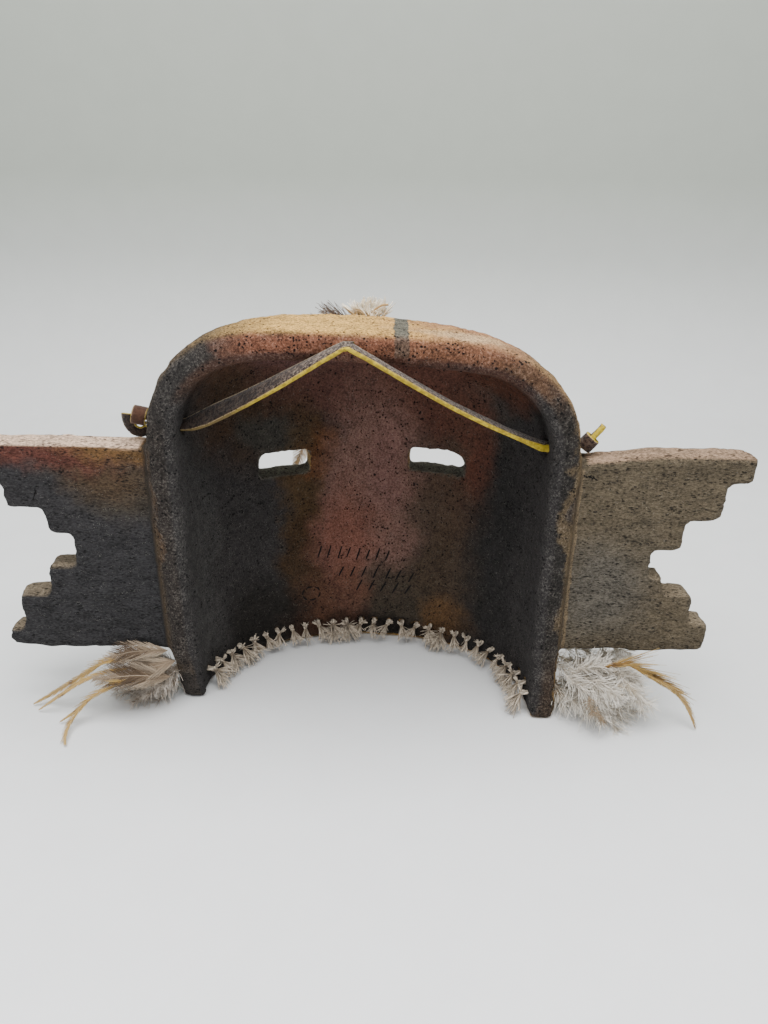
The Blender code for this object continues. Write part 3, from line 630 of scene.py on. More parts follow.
def fibre_material(name, root, tip, spread_of_tone, roughness=0.85, sheen=0.3, bars=None, marked=None):
    """Fibres that go from one colour to another, each a little lighter or darker than the next.

    Bars are blots of a scale, a threshold and a colour; marked is the colour of the fibres with a mark.
    """
    made, tree, shader = finish_material(name, roughness, sheen=sheen, specular=0.2)
    colour = blended(tree, spread(tree, read(tree, "along"), 0.05, 0.85), root, tip)
    if bars is not None:
        place = here(tree)
        blot = grained(tree, place, bars[0], 3.0, 0.6).outputs["Fac"]
        colour = blended(tree, spread(tree, blot, bars[1], bars[1] + 0.09), colour, bars[2])
    if marked is not None:
        colour = blended(tree, read(tree, "mark"), colour, marked)
    low, high = 1 - spread_of_tone, 1 + spread_of_tone
    tone = spread(tree, read(tree, "strand"), 0.0, 1.0, low, high, "LINEAR")
    toned = scaled(tree, colour, tone)
    tree.links.new(toned, shader.inputs["Base Color"])
    return made


def paper_material(colour):
    """Pale paper, greener up the backdrop, with painted light: darker up the backdrop and lighter towards the
    front.
    """
    made, tree, shader = finish_material("pale paper with painted light", 0.75, specular=0.2)
    place = here(tree)
    # Painted light falloff: the backdrop darkens upwards and the floor lightens towards the front
    height = spread(tree, axis_of(tree, place, "Z"), 0.0, 0.24, curve="LINEAR")
    front = spread(tree, axis_of(tree, place, "Y"), 0.02, 0.21, curve="LINEAR")
    colour = Vector(colour)
    behind = blended(tree, height, colour, Vector((0.375, 0.398, 0.355)))
    shade = blended(tree, front, behind, (0.96, 0.965, 0.975))
    grain = grained(tree, place, 40.0, 3.0).outputs["Fac"]
    tone = spread(tree, grain, 0.3, 0.7, 0.985, 1.015, "LINEAR")
    tree.links.new(scaled(tree, shade, tone), shader.inputs["Base Color"])
    bumped(tree, shader, grain, 0.2, 0.0002)
    return made


def plain_material(name, colour, roughness, grain_scale, depth):
    """A matt finish with a faint grain, for the scored strokes."""
    made, tree, shader = finish_material(name, roughness, specular=0.2)
    place = here(tree)
    grain = grained(tree, place, grain_scale, 3.0).outputs["Fac"]
    light = [min(channel * 1.05, 1.0) for channel in colour]
    dim = [channel * 0.95 for channel in colour]
    tree.links.new(blended(tree, grain, dim, light), shader.inputs["Base Color"])
    bumped(tree, shader, grain, 0.2, depth)
    return made


# Settings


class ClaySettings(bpy.types.PropertyGroup):
    grain: FloatProperty(
        name="Skin grain",
        description="Size of the clay skin's faces",
        default=0.00158,
        unit="LENGTH",
        precision=5,
    )
    relief: FloatProperty(
        name="Relief", description="How far the hand-worked skin swells and dips", default=0.0005, unit="LENGTH"
    )
    pits: FloatProperty(
        name="Pits", description="Depth of the open pits in the clay", default=0.0009, unit="LENGTH"
    )


class LaceSettings(bpy.types.PropertyGroup):
    width: FloatProperty(name="Width", description="Width of the lace", default=0.0085, unit="LENGTH")
    thickness: FloatProperty(
        name="Thickness", description="Thickness of the lace", default=0.0017, unit="LENGTH"
    )


class TieSettings(bpy.types.PropertyGroup):
    strand: FloatProperty(
        name="Strand", description="Radius of one ply of the yarn", default=0.00062, unit="LENGTH", precision=5
    )
    fray: FloatProperty(
        name="Fray", description="Length of the frayed end inside", default=0.0090, unit="LENGTH"
    )
    hairs: IntProperty(name="Hairs", description="Fine hairs in a frayed end", default=22)


class FeatherSettings(bpy.types.PropertyGroup):
    barb: FloatProperty(
        name="Barb", description="Radius of a feather's barb", default=0.00016, unit="LENGTH", precision=5
    )
    down: FloatProperty(
        name="Down", description="Radius of a downy fibre", default=0.00015, unit="LENGTH", precision=5
    )
    plumes: IntProperty(name="Plumes", description="Downy plumes in a bunch under an ear", default=44)


class StageSettings(bpy.types.PropertyGroup):
    floor: FloatVectorProperty(
        name="Floor",
        description="Colour of the floor and backdrop",
        default=(0.71, 0.72, 0.72),
        subtype="COLOR",
    )
    key: FloatProperty(name="Key light", description="Power of the softbox overhead, in watts", default=30.0)
    fill: FloatProperty(
        name="Fill light", description="Power of the light behind the camera, in watts", default=3.0
    )
    sky: FloatProperty(name="Room light", description="Strength of the light from all round", default=0.30)


# Camera and stage


class MASK_OT_camera(bpy.types.Operator):
    """Sets the camera where the photograph was taken from."""

    bl_idname = "mask.camera"
    bl_label = "Camera"

    def execute(self, context):
        data = bpy.data.cameras.new("camera")
        data.sensor_fit = "VERTICAL"
        data.sensor_height = SENSOR
        data.lens = FOCAL * SENSOR
        data.clip_start = 0.01
        made = bpy.data.objects.new("camera", data)
        context.scene.collection.objects.link(made)
        forward = Vector((0, -math.cos(PITCH), -math.sin(PITCH)))
        right = Vector((-1, 0, 0))
        up = right.cross(forward)
        leaning_right = right * math.cos(ROLL) + up * math.sin(ROLL)
        leaning_up = up * math.cos(ROLL) - right * math.sin(ROLL)
        turned = Matrix((leaning_right, leaning_up, -forward)).transposed().to_4x4()
        made.matrix_world = Matrix.Translation(EYE) @ turned
        context.scene.camera = made
        return {"FINISHED"}


class MASK_OT_stage(bpy.types.Operator):
    """Lays a pale floor that curves up into a backdrop, and hangs soft lights."""

    bl_idname = "mask.stage"
    bl_label = "Floor and lights"

    def light(self, context, name, place, target, size, power):
        data = bpy.data.lights.new(name, "AREA")
        data.shape = "RECTANGLE"
        data.size, data.size_y = size
        data.energy = power
        made = bpy.data.objects.new(name, data)
        context.scene.collection.objects.link(made)
        aim = (Vector(target) - Vector(place)).to_track_quat("-Z", "Y")
        made.matrix_world = Matrix.Translation(place) @ aim.to_matrix().to_4x4()

    def execute(self, context):
        settings = context.scene.mask_stage
        bm = bmesh.new()
        ends = [bm.verts.new((side * FLOOR_HALF, FLOOR_FRONT, 0.0)) for side in (-1, 1)]
        edge = bm.edges.new(ends)
        grown = bmesh.ops.extrude_edge_only(bm, edges=[edge])["geom"]
        far = [item for item in grown if isinstance(item, bmesh.types.BMVert)]
        bmesh.ops.translate(bm, verts=far, vec=(0, BACKDROP_Y - FLOOR_FRONT, 0))
        rim = [item for item in grown if isinstance(item, bmesh.types.BMEdge)]
        turned = bmesh.ops.spin(
            bm,
            geom=rim,
            cent=(0, BACKDROP_Y, BACKDROP_CURVE),
            axis=(1, 0, 0),
            angle=-math.pi / 2,
            steps=16,
            use_merge=False,
        )["geom_last"]
        rim = [item for item in turned if isinstance(item, bmesh.types.BMEdge)]
        grown = bmesh.ops.extrude_edge_only(bm, edges=rim)["geom"]
        top = [item for item in grown if isinstance(item, bmesh.types.BMVert)]
        bmesh.ops.translate(bm, verts=top, vec=(0, 0, BACKDROP_RISE))
        bmesh.ops.recalc_face_normals(bm, faces=bm.faces)
        mesh = bpy.data.meshes.new("pale_floor")
        bm.to_mesh(mesh)
        bm.free()
        mesh.shade_smooth()
        floor = collect("pale_floor", mesh, paper_material(settings.floor))
        self.light(context, "softbox overhead", (0.0, 0.16, 1.05), (0, 0.02, 0.05), (1.3, 1.0), settings.key)
        self.light(context, "fill behind camera", (0.1, 1.30, 0.75), (0, 0.0, 0.08), (1.2, 0.8), settings.fill)
        room = bpy.data.worlds.new("room")
        room.use_nodes = True
        background = room.node_tree.nodes["Background"]
        background.inputs["Color"].default_value = (0.93, 0.96, 1.0, 1.0)
        background.inputs["Strength"].default_value = settings.sky
        context.scene.world = room
        return {"FINISHED"}


# Lace


def strip(bm, path, sides, widths, thicknesses, roughen, face_slot=0):
    """A flat strip of hide along a path: its faces take one material slot and its cuts the second."""
    border = bm.verts.layers.float.get("border") or bm.verts.layers.float.new("border")
    earlier = set(bm.faces)
    corners = [(-0.5, -0.5), (-0.17, -0.55), (0.17, -0.55), (0.5, -0.5)]
    corners += [(0.53, 0.0), (0.5, 0.5), (0.17, 0.55), (-0.17, 0.55), (-0.5, 0.5), (-0.53, 0.0)]
    ring = [bm.verts.new((x, y, 0.0)) for x, y in corners]
    cap = bm.faces.new(ring)
    last = len(path) - 1
    stations = []
    ways = []
    for index, point in enumerate(path):
        forward = (path[min(index + 1, last)] - path[max(index - 1, 0)]).normalized()
        across = (sides[index] - forward * sides[index].dot(forward)).normalized()
        turned = Matrix((across, forward.cross(across), forward)).transposed().to_4x4()
        size = Matrix.Diagonal((widths[index], thicknesses[index], 1.0, 1.0))
        stations.append(Matrix.Translation(point) @ turned @ size)
        ways.append((point, across, widths[index]))
    bmesh.ops.transform(bm, matrix=stations[0], verts=ring)
    edges = list(cap.edges)
    for before, after in zip(stations, stations[1:]):
        grown = bmesh.ops.extrude_edge_only(bm, edges=edges)["geom"]
        moved = [item for item in grown if isinstance(item, bmesh.types.BMVert)]
        edges = [item for item in grown if isinstance(item, bmesh.types.BMEdge)]
        bmesh.ops.transform(bm, matrix=after @ before.inverted(), verts=moved)
    bmesh.ops.holes_fill(bm, edges=edges, sides=0)
    made = [face for face in bm.faces if face not in earlier]
    bmesh.ops.recalc_face_normals(bm, faces=made)
    bm.normal_update()
    for face in made:
        face.smooth = True
        middle = face.calc_center_median()
        across = min(ways, key=lambda way: (way[0] - middle).length_squared)[1]
        cut = abs(face.normal.dot(across)) > 0.72 or len(face.verts) > 4
        face.material_index = 1 if cut else face_slot
    verts = {vert for face in made for vert in face.verts}
    places = {}
    for vert in verts:
        middle, across, width = min(ways, key=lambda way: (way[0] - vert.co).length_squared)
        vert[border] = min(abs((vert.co - middle).dot(across)) / (width / 2), 1.0)
        rough = noise.noise(vert.co * 900) + noise.noise(vert.co * 300)
        places[vert] = vert.co + vert.normal * rough * roughen
    for vert, place in places.items():
        vert.co = place


def hide(name, bm, materials):
    mesh = bpy.data.meshes.new(name)
    bm.to_mesh(mesh)
    bm.free()
    return collect(name, mesh, *materials)


def wound(middle, axis, start, radius, sweep, travel):
    """A line wound round an axis from the direction start, that moves along the axis by travel."""
    axis = axis.normalized()
    first = (start - axis * start.dot(axis)).normalized()
    second = axis.cross(first)
    path = []
    for step in range(WOUND_STEPS + 1):
        share = step / WOUND_STEPS
        turn = sweep * share
        around = first * math.cos(turn) + second * math.sin(turn)
        path.append(middle + around * radius + axis * travel * (share - 0.5))
    return path


class MASK_OT_lace(bpy.types.Operator):
    """Runs the suede lace from wall to wall and knots its ends outside."""

    bl_idname = "mask.lace"
    bl_label = "Leather lace"

    def left_knot(self, thickness, materials):
        """A smooth lobe of the strip against the wall, and its cut tail curled up beside it."""
        bm = bmesh.new()
        axis = Vector((0.97, 0.05, 0.22))
        loop = wound(Vector((0.1018, 0.0158, 0.1522)), axis, Vector((0, -1, -1)), 0.0038, -6.0, 0.0004)
        count = len(loop)
        strip(bm, loop, [axis] * count, [0.0062] * count, [thickness * 0.6] * count, 0.00008, face_slot=2)
        tail = smoothed(
            (
                (0.0984, 0.0160, 0.1460),
                (0.1020, 0.0158, 0.1444),
                (0.1054, 0.0156, 0.1454),
                (0.1074, 0.0153, 0.1488),
                (0.1076, 0.0151, 0.1528),
            ),
            5,
        )
        last = len(tail) - 1
        widths = [0.0048 + 0.0016 * (index / last) ** 0.7 for index in range(last + 1)]
        low, high = Vector((-0.30, 0.35, 0.89)), Vector((-0.86, 0.30, 0.40))
        leaning = [low.lerp(high, index / last) for index in range(last + 1)]
        strip(bm, tail, leaning, widths, [thickness * 0.7] * (last + 1), 0.00014)
        return hide("lace_loop_left", bm, materials)

    def right_knot(self, thickness, materials):
        """A turn of the strip round its own tail, which sticks out and up."""
        bm = bmesh.new()
        axis = Vector((-0.62, 0.05, 0.78))
        loop = wound(Vector((-0.1036, 0.0160, 0.1422)), axis, Vector((1, -0.3, 0)), 0.0029, 6.1, 0.0004)
        count = len(loop)
        strip(bm, loop, [axis] * count, [0.0064] * count, [thickness] * count, 0.00018)
        tail = smoothed(
            (
                (-0.1020, 0.0160, 0.1405),
                (-0.1046, 0.0160, 0.1437),
                (-0.1072, 0.0162, 0.1470),
                (-0.1096, 0.0164, 0.1504),
            ),
            5,
        )
        count = len(tail)
        flat = Vector((0.25, 0.93, 0.20))
        strip(bm, tail, [flat] * count, [0.0056] * count, [thickness * 1.5] * count, 0.00020)
        return hide("lace_loop_right", bm, materials)

    def execute(self, context):
        settings = context.scene.mask_lace
        suede = suede_material("napped lace suede", (0.032, 0.016, 0.010), (0.085, 0.055, 0.040), 1.0)
        lobe = suede_material("smooth lace hide", (0.115, 0.052, 0.031), (0.175, 0.082, 0.048), 0.25)
        materials = [suede, cut_edge_material(), lobe]
        path = smoothed(LACE_ROUTE, 6)
        sides = []
        widths = []
        thicknesses = []
        for point in path:
            share = clamped(point.x / LACE_INSIDE_X)
            sides.append(Vector((0, math.cos(LACE_TURN * share), -math.sin(LACE_TURN * share))))
            free = clamped((LACE_INSIDE_X - 0.002 - abs(point.x)) / 0.012)
            widths.append(HOLE_WIDTH + (settings.width - HOLE_WIDTH) * free)
            thicknesses.append(HOLE_THICKNESS + (settings.thickness - HOLE_THICKNESS) * free)
        bm = bmesh.new()
        strip(bm, path, sides, widths, thicknesses, 0.00016)
        lace = hide("suede_lace", bm, materials)
        knots = [
            settle(self.left_knot(settings.thickness, materials), "leather", "lace_knot_left"),
            settle(self.right_knot(settings.thickness, materials), "leather", "lace_knot_right"),
        ]
        settle(lace, "leather", "hanging_lace")
        return {"FINISHED"}


# Clay


class MASK_OT_clay(bpy.types.Operator):
    """Gives the shell its hand-worked, pitted clay skin."""

    bl_idname = "mask.clay"
    bl_label = "Clay shell"

    def skin(self, grain):
        bm = bmesh.new()
        bm.from_mesh(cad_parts["mask_shell"].data)
        bmesh.ops.remove_doubles(bm, verts=bm.verts, dist=0.00001)
        mesh = bpy.data.meshes.new("clay_body")
        bm.to_mesh(mesh)
        bm.free()
        holder = bpy.data.objects.new("clay_body", mesh)
        bpy.context.scene.collection.objects.link(holder)
        remesh = holder.modifiers.new("even skin", "REMESH")
        remesh.mode = "VOXEL"
        remesh.voxel_size = grain
        soften = holder.modifiers.new("softened edges", "SMOOTH")
        soften.factor = 0.5
        soften.iterations = 2
        mesh = applied(holder, "clay_shell")
        bm = bmesh.new()
        bm.from_mesh(mesh)
        lip = [
            vert
            for vert in bm.verts
            if vert.co.y > BACK_Y - LIP_DEPTH
            and abs(vert.co.x - MIDDLE_X) < SIDE_X + 0.002
            and vert.co.z > 0.01
        ]
        for _ in range(LIP_ROUNDS):
            bmesh.ops.smooth_vert(bm, verts=lip, factor=0.5, use_axis_x=True, use_axis_y=True, use_axis_z=True)
        for vert in bm.verts:
            low = clamped((FOOT_HEIGHT - vert.co.z) / FOOT_HEIGHT) ** 1.6
            near = clamped((vert.co.y - FOOT_FRONT) / 0.012)
            if vert.co.x > 0.07:
                vert.co.x -= FOOT_BEND * low * near
        bm.to_mesh(mesh)
        bm.free()
        mesh.update()
        return mesh

    def execute(self, context):
        settings = context.scene.mask_clay
        mesh = self.skin(settings.grain)
        middle = Vector((MIDDLE_X, BACK_Y, 0.085))
        hollow = []
        rim = []
        step_tops_painted_light = []
        crest_and_painted_light = []
        slot = []
        moved = []
        for vertex in mesh.vertices:
            place = vertex.co
            normal = vertex.normal
            inward = normal.dot((middle - place).normalized())
            within = abs(place.x - MIDDLE_X) < SIDE_X + 0.001
            hollow.append(clamped((inward - 0.06) / 0.22) if within else 0.0)
            back = clamped((place.y - BACK_Y + 0.006) / 0.005)
            turned = clamped((normal.y - 0.20) / 0.45)
            rim.append(back * turned if within else 0.0)
            beyond = abs(place.x - MIDDLE_X) > SIDE_X + 0.004
            facing_up = clamped((normal.z - 0.35) / 0.4) if beyond else 0.0
            # Upward step faces on the ears below the crest take a lighter tan: painted light
            step_tops_painted_light.append(facing_up if place.z < 0.125 else 0.0)
            # Upward faces of the ears' crests: partly the ear's own pale top, partly painted light
            crest_and_painted_light.append(facing_up if place.z > 0.128 else 0.0)
            eyes = 0.102 < place.z < 0.1165 and 0.018 < abs(place.x - MIDDLE_X) < 0.062 and place.y < -0.018
            sunk = abs(normal.z) + abs(normal.x) * 0.6 - 0.5
            slot.append(clamped(sunk / 0.3) if eyes else 0.0)
            moved.append(place + normal * self.relief(place, normal, settings))
        flat = []
        for place in moved:
            flat += [place.x, place.y, max(place.z, CLAY_LOWEST)]
        paint(mesh, "hollow", hollow)
        paint(mesh, "rim", rim)
        paint(mesh, "step_tops_painted_light", step_tops_painted_light)
        paint(mesh, "crest_and_painted_light", crest_and_painted_light)
        paint(mesh, "slot", slot)
        mesh.vertices.foreach_set("co", flat)
        mesh.update()
        mesh.shade_smooth()
        clay = clay_material(cloud_group(), crack_group(), grog_group())
        settle(collect("clay_shell", mesh, clay), "ceramic", "mask_shell")
        return {"FINISHED"}

    def relief(self, place, normal, settings):
        """How far a point of the skin stands out: slow swells, a coarse grain and open pits."""
        outward = abs(place.x - MIDDLE_X) > SIDE_X
        brushed = Vector((place.x * 0.35, place.y, place.z)) if outward else place
        swell = noise.noise(place * 45) * 0.9 + noise.noise(brushed * 150) * 0.9
        grit = noise.noise(brushed * 430) * 0.9
        distance = noise.voronoi(place * 210)[0][0]
        open_here = noise.noise(place * 90 + Vector((7, 3, 1))) > 0.12
        pit = max(0.0, 0.30 - distance) / 0.30 if open_here else 0.0
        rough = settings.relief * (1.7 if outward else 1.0)
        return rough * (swell + grit) - settings.pits * pit


# Rows of strokes inside the face: height, first and last place across, and number
STROKE_ROWS = ((0.0565, 0.026, -0.012, 8), (0.0440, 0.014, -0.026, 7), (0.0350, 0.004, -0.024, 5))


class MASK_OT_strokes(bpy.types.Operator):
    """Lays rows of shallow dark strokes and a broken ring on the inside of the face."""

    bl_idname = "mask.strokes"
    bl_label = "Scored strokes"

    def execute(self, context):
        mesh = bpy.data.objects["clay_shell"].data
        tree = BVHTree.FromPolygons(
            [vertex.co for vertex in mesh.vertices], [tuple(face.vertices) for face in mesh.polygons]
        )
        rng = random.Random(5)

        def on_skin(x, z):
            hit = tree.ray_cast(Vector((x, 0.2, z)), Vector((0, -1, 0)))
            return hit[0] + hit[1] * 0.00002

        marks = []
        for row, (height, first, last, count) in enumerate(STROKE_ROWS):
            for index in range(count):
                x = first + (last - first) * index / (count - 1) + rng.uniform(-0.0004, 0.0004)
                z = height - 0.003 * index / count + rng.uniform(-0.0004, 0.0004)
                lean = 0.0011 + 0.0003 * row
                tall = rng.uniform(0.0030, 0.0038)
                marks.append([(x - lean, z + tall), (x, z), (x + lean, z - tall)])
        for turn in range(0, 360, 60):
            arc = []
            for step in range(3):
                angle = math.radians(turn + 20 * step)
                arc.append((0.0313 + 0.0049 * math.cos(angle), 0.0310 + 0.0042 * math.sin(angle)))
            marks.append(arc)
        paths = []
        for mark in marks:
            fine = smoothed([Vector((x, 0, z)) for x, z in mark], 5)
            path = []
            for index, spot in enumerate(fine):
                thick = 0.00052 * (0.55 + 0.45 * math.sin(math.pi * (index + 1) / (len(fine) + 1)))
                path.append((*on_skin(spot.x, spot.z), thick))
            paths.append(path)
        ink = plain_material("black slip", (0.006, 0.005, 0.005), 0.8, 600.0, 0.0001)
        settle(fibres("scored_strokes", paths, ink), "ceramic")
        return {"FINISHED"}


# Cotton ties

# How frayed the ties are that stand out, by their number from 0, and how frayed the others are
FLUFF = {
    0: 0.9, 1: 0.5, 2: 0.8, 3: 0.7, 4: 0.5, 9: 0.5, 10: 1.0, 11: 1.0, 12: 0.4, 16: 0.4,
    17: 0.6, 18: 0.6, 22: 0.3, 24: 0.6, 25: 0.7, 26: 0.6, 27: 0.9,
}
PLAIN_FLUFF = 0.15


class MASK_OT_ties(bpy.types.Operator):
    """Knots a short cotton yarn into each hole of the lower edge and frays its ends."""

    bl_idname = "mask.ties"
    bl_label = "Cotton ties"

    def axis(self, node):
        """The place where a tie's yarn leaves the wall inside, and its direction into the hollow."""
        points = coordinates(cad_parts[node].data)
        level = points[:, :2] - points[:, :2].mean(0)
        _, _, rows = np.linalg.svd(level, full_matrices=False)
        direction = Vector((*rows[0], 0.0)).normalized()
        middle = Vector(points.mean(0))
        if direction.dot(Vector((MIDDLE_X, 0.01, middle.z)) - middle) < 0:
            direction = -direction
        reach = max(Vector(point).dot(direction) for point in points)
        height = float(points[:, 2].max()) - 0.0019
        start = middle + direction * (reach - middle.dot(direction) - 0.0075)
        return Vector((start.x, start.y, height)), direction

    def yarn(self, rng, start, direction, settings, fluff, fall_share):
        """The plies through the wall, a tangled knot on each side, a blunt stub and a frayed tail."""
        level = direction.cross(UP).normalized()
        paths = []
        lean = rng.uniform(-0.9, 0.9)
        for ply in range(4):
            path = []
            for step in range(13):
                share = step / 12
                along = -WALL - 0.0026 + (WALL + 0.0046) * share
                turn = ply * math.pi / 2 + share * 9.0
                offset = (level * math.cos(turn) + UP * math.sin(turn)) * settings.strand * 1.25
                path.append((*(start + direction * along + offset), settings.strand))
            paths.append(path)
        for inside in (True, False):
            base = start + direction * (0.0020 if inside else -WALL - 0.0022)
            outward = direction if inside else -direction
            for curl in range(7):
                axis = any_way(rng).normalized()
                side = axis.orthogonal().normalized()
                first = rng.uniform(0, 6)
                ring = []
                for step in range(7):
                    around = Matrix.Rotation(first + step * 0.75, 3, axis) @ side
                    ring.append((*above_floor(base + around * rng.uniform(0.0007, 0.0012), 0.0004), 0.00036))
                paths.append(ring)
            fall = outward * 0.70 - UP * (0.35 + 0.75 * fall_share if inside else 0.9)
            fall += level * lean * (0.55 if inside else -0.5)
            length = settings.fray * (rng.uniform(0.85, 1.15) if inside else 0.7)
            for ply in range((7 if fluff < 0.5 else 14) if inside else 4):
                wide = 0.35 + 0.45 * fluff
                aim = fall + level * rng.uniform(-wide, wide) + UP * rng.uniform(-0.3, 0.3)
                long = length * rng.uniform(0.7, 1.0)
                paths.append(wisp(rng, base, aim, long, settings.strand * 0.78, 0.16, 0.05, 6, 0.55))
                tip = Vector(paths[-1][-2][:3])
                for hair in range(3):
                    split = aim + level * rng.uniform(-0.6, 0.6) + UP * rng.uniform(-0.5, 0.5)
                    paths.append(wisp(rng, tip, split, rng.uniform(0.0012, 0.0024), 0.00018, 0.2, 0.0, 3))
            for hair in range(settings.hairs if fluff < 0.6 else settings.hairs * 4):
                wide = 0.45 + 0.7 * fluff
                aim = fall + level * rng.uniform(-wide, wide) + UP * rng.uniform(-wide, wide)
                root = base + fall.normalized() * rng.uniform(0, length * 0.45)
                long = length * rng.uniform(0.35, 0.8) * (1 + 0.55 * fluff)
                paths.append(wisp(rng, root, aim, long, 0.00024 + 0.00010 * fluff, 0.2, 0.05, points=4))
            if inside:
                up_end = outward * rng.uniform(0.2, 0.6) + UP * rng.uniform(0.6, 1.0) - level * lean * 0.9
                tall = rng.uniform(0.0032, 0.0050)
                for ply in range(8):
                    wide = 0.35 + 0.55 * fluff
                    aim = up_end + level * rng.uniform(-wide, wide) + outward * rng.uniform(-0.25, 0.25)
                    thick = settings.strand * rng.uniform(0.55, 0.75)
                    paths.append(wisp(rng, base, aim, tall * rng.uniform(0.65, 1.05), thick, 0.10, 0.0, 4, 0.8))
                for hair in range(9):
                    aim = up_end + level * rng.uniform(-0.6, 0.6) + outward * rng.uniform(-0.3, 0.3)
                    paths.append(wisp(rng, base, aim, tall * rng.uniform(0.7, 1.1), 0.00018, 0.2, 0.0, 4))
        return paths

    def execute(self, context):
        settings = context.scene.mask_ties
        # Cotton darker at the roots by the wall than at the frayed tips: painted shade
        cotton = fibre_material("frayed cotton yarn", (0.20, 0.158, 0.110), (0.56, 0.48, 0.38), 0.42, 0.95, 0.1)
        nodes = sorted(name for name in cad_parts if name.startswith("yarn_tie_"))
        for index, node in enumerate(nodes):
            rng = random.Random(40 + index)
            start, direction = self.axis(node)
            towards_end = abs(index - (len(nodes) - 1) / 2) / (len(nodes) / 2)
            paths = self.yarn(rng, start, direction, settings, FLUFF.get(index, PLAIN_FLUFF), towards_end)
            made = fibres(node.replace("yarn_tie", "cotton_tie"), paths, cotton)
            settle(made, "cotton", node)
        return {"FINISHED"}


# Feathers

# The shafts under the +X ear: knots and width, and for the vanes the brown patch and the face too
LEFT_VANES = (
    (
        ((0.0985, 0.029, 0.0325), (0.1080, 0.031, 0.0335), (0.1170, 0.032, 0.0332), (0.1290, 0.033, 0.0300)),
        0.0046,
        (0.35, 0.80),
        (0.1, 0.75, 0.65),
    ),
    (
        ((0.0975, 0.034, 0.0200), (0.1040, 0.038, 0.0232), (0.1150, 0.040, 0.0248), (0.1340, 0.040, 0.0222)),
        0.0060,
        (0.36, 0.76),
        (0.15, 0.75, 0.65),
    ),
    (
        ((0.0950, 0.030, 0.0270), (0.1000, 0.033, 0.0270), (0.1070, 0.035, 0.0262), (0.1140, 0.036, 0.0250)),
        0.0050,
        (0.55, 1.2),
        (0.05, 0.8, 0.6),
    ),
)
LEFT_HACKLES = (
    (
        (
            (0.1180, 0.034, 0.0300), (0.1250, 0.034, 0.0295), (0.1310, 0.034, 0.0275),
            (0.1405, 0.034, 0.0210), (0.1510, 0.0335, 0.0135), (0.1610, 0.0325, 0.0065),
            (0.1696, 0.034, 0.0016),
        ),
        0.0017,
    ),
    (
        (
            (0.1180, 0.036, 0.0260), (0.1280, 0.037, 0.0245), (0.1400, 0.0375, 0.0195),
            (0.1525, 0.038, 0.0110), (0.1651, 0.0386, 0.0016),
        ),
        0.0013,
    ),
    (
        (
            (0.1060, 0.040, 0.0215), (0.1163, 0.042, 0.0225), (0.1226, 0.043, 0.0212),
            (0.1345, 0.044, 0.0145), (0.1427, 0.049, 0.0062), (0.1440, 0.057, 0.0030),
            (0.1424, 0.0632, 0.0016),
        ),
        0.0017,
    ),
    (((0.1345, 0.044, 0.0140), (0.1430, 0.0455, 0.0070), (0.1509, 0.0475, 0.0016)), 0.0007),
)

# The long hackle and the short dark one under the -X ear
RIGHT_HACKLE = (
    (-0.1200, 0.036, 0.0305), (-0.1287, 0.038, 0.0345), (-0.1365, 0.040, 0.0330),
    (-0.1435, 0.040, 0.0295), (-0.1509, 0.040, 0.0248), (-0.1572, 0.040, 0.0196),
    (-0.1627, 0.041, 0.0130), (-0.1660, 0.043, 0.0070), (-0.1680, 0.0455, 0.0018),
)
RIGHT_DARK_HACKLE = (
    (-0.1180, 0.033, 0.0300), (-0.1260, 0.035, 0.0325), (-0.1336, 0.036, 0.0325),
    (-0.1405, 0.036, 0.0305), (-0.1479, 0.036, 0.0262),
)

# Loose plumes on the -X down: root, direction, and 1 for a browner one
SEMIPLUMES = (
    ((-0.1112, 0.048, 0.0225), (-0.2, 0.3, -1.0), 1.0),
    ((-0.1155, 0.049, 0.0170), (-0.3, 0.3, -1.0), 1.0),
    ((-0.1260, 0.043, 0.0260), (-1.0, 0.2, -0.3), 0.0),
    ((-0.1340, 0.043, 0.0220), (-1.0, 0.2, -0.9), 0.0),
)

# The two feathers that hang from the brow: knots, width and number of barbs
BROW_VANES = (
    (
        ((0.004, -0.0510, 0.176), (0.016, -0.0575, 0.152), (0.029, -0.0582, 0.127), (0.041, -0.0572, 0.099)),
        0.0084,
        190,
    ),
    (
        ((0.002, -0.0505, 0.176), (-0.004, -0.0570, 0.152), (-0.007, -0.0565, 0.133), (-0.009, -0.0550, 0.113)),
        0.0066,
        140,
    ),
)


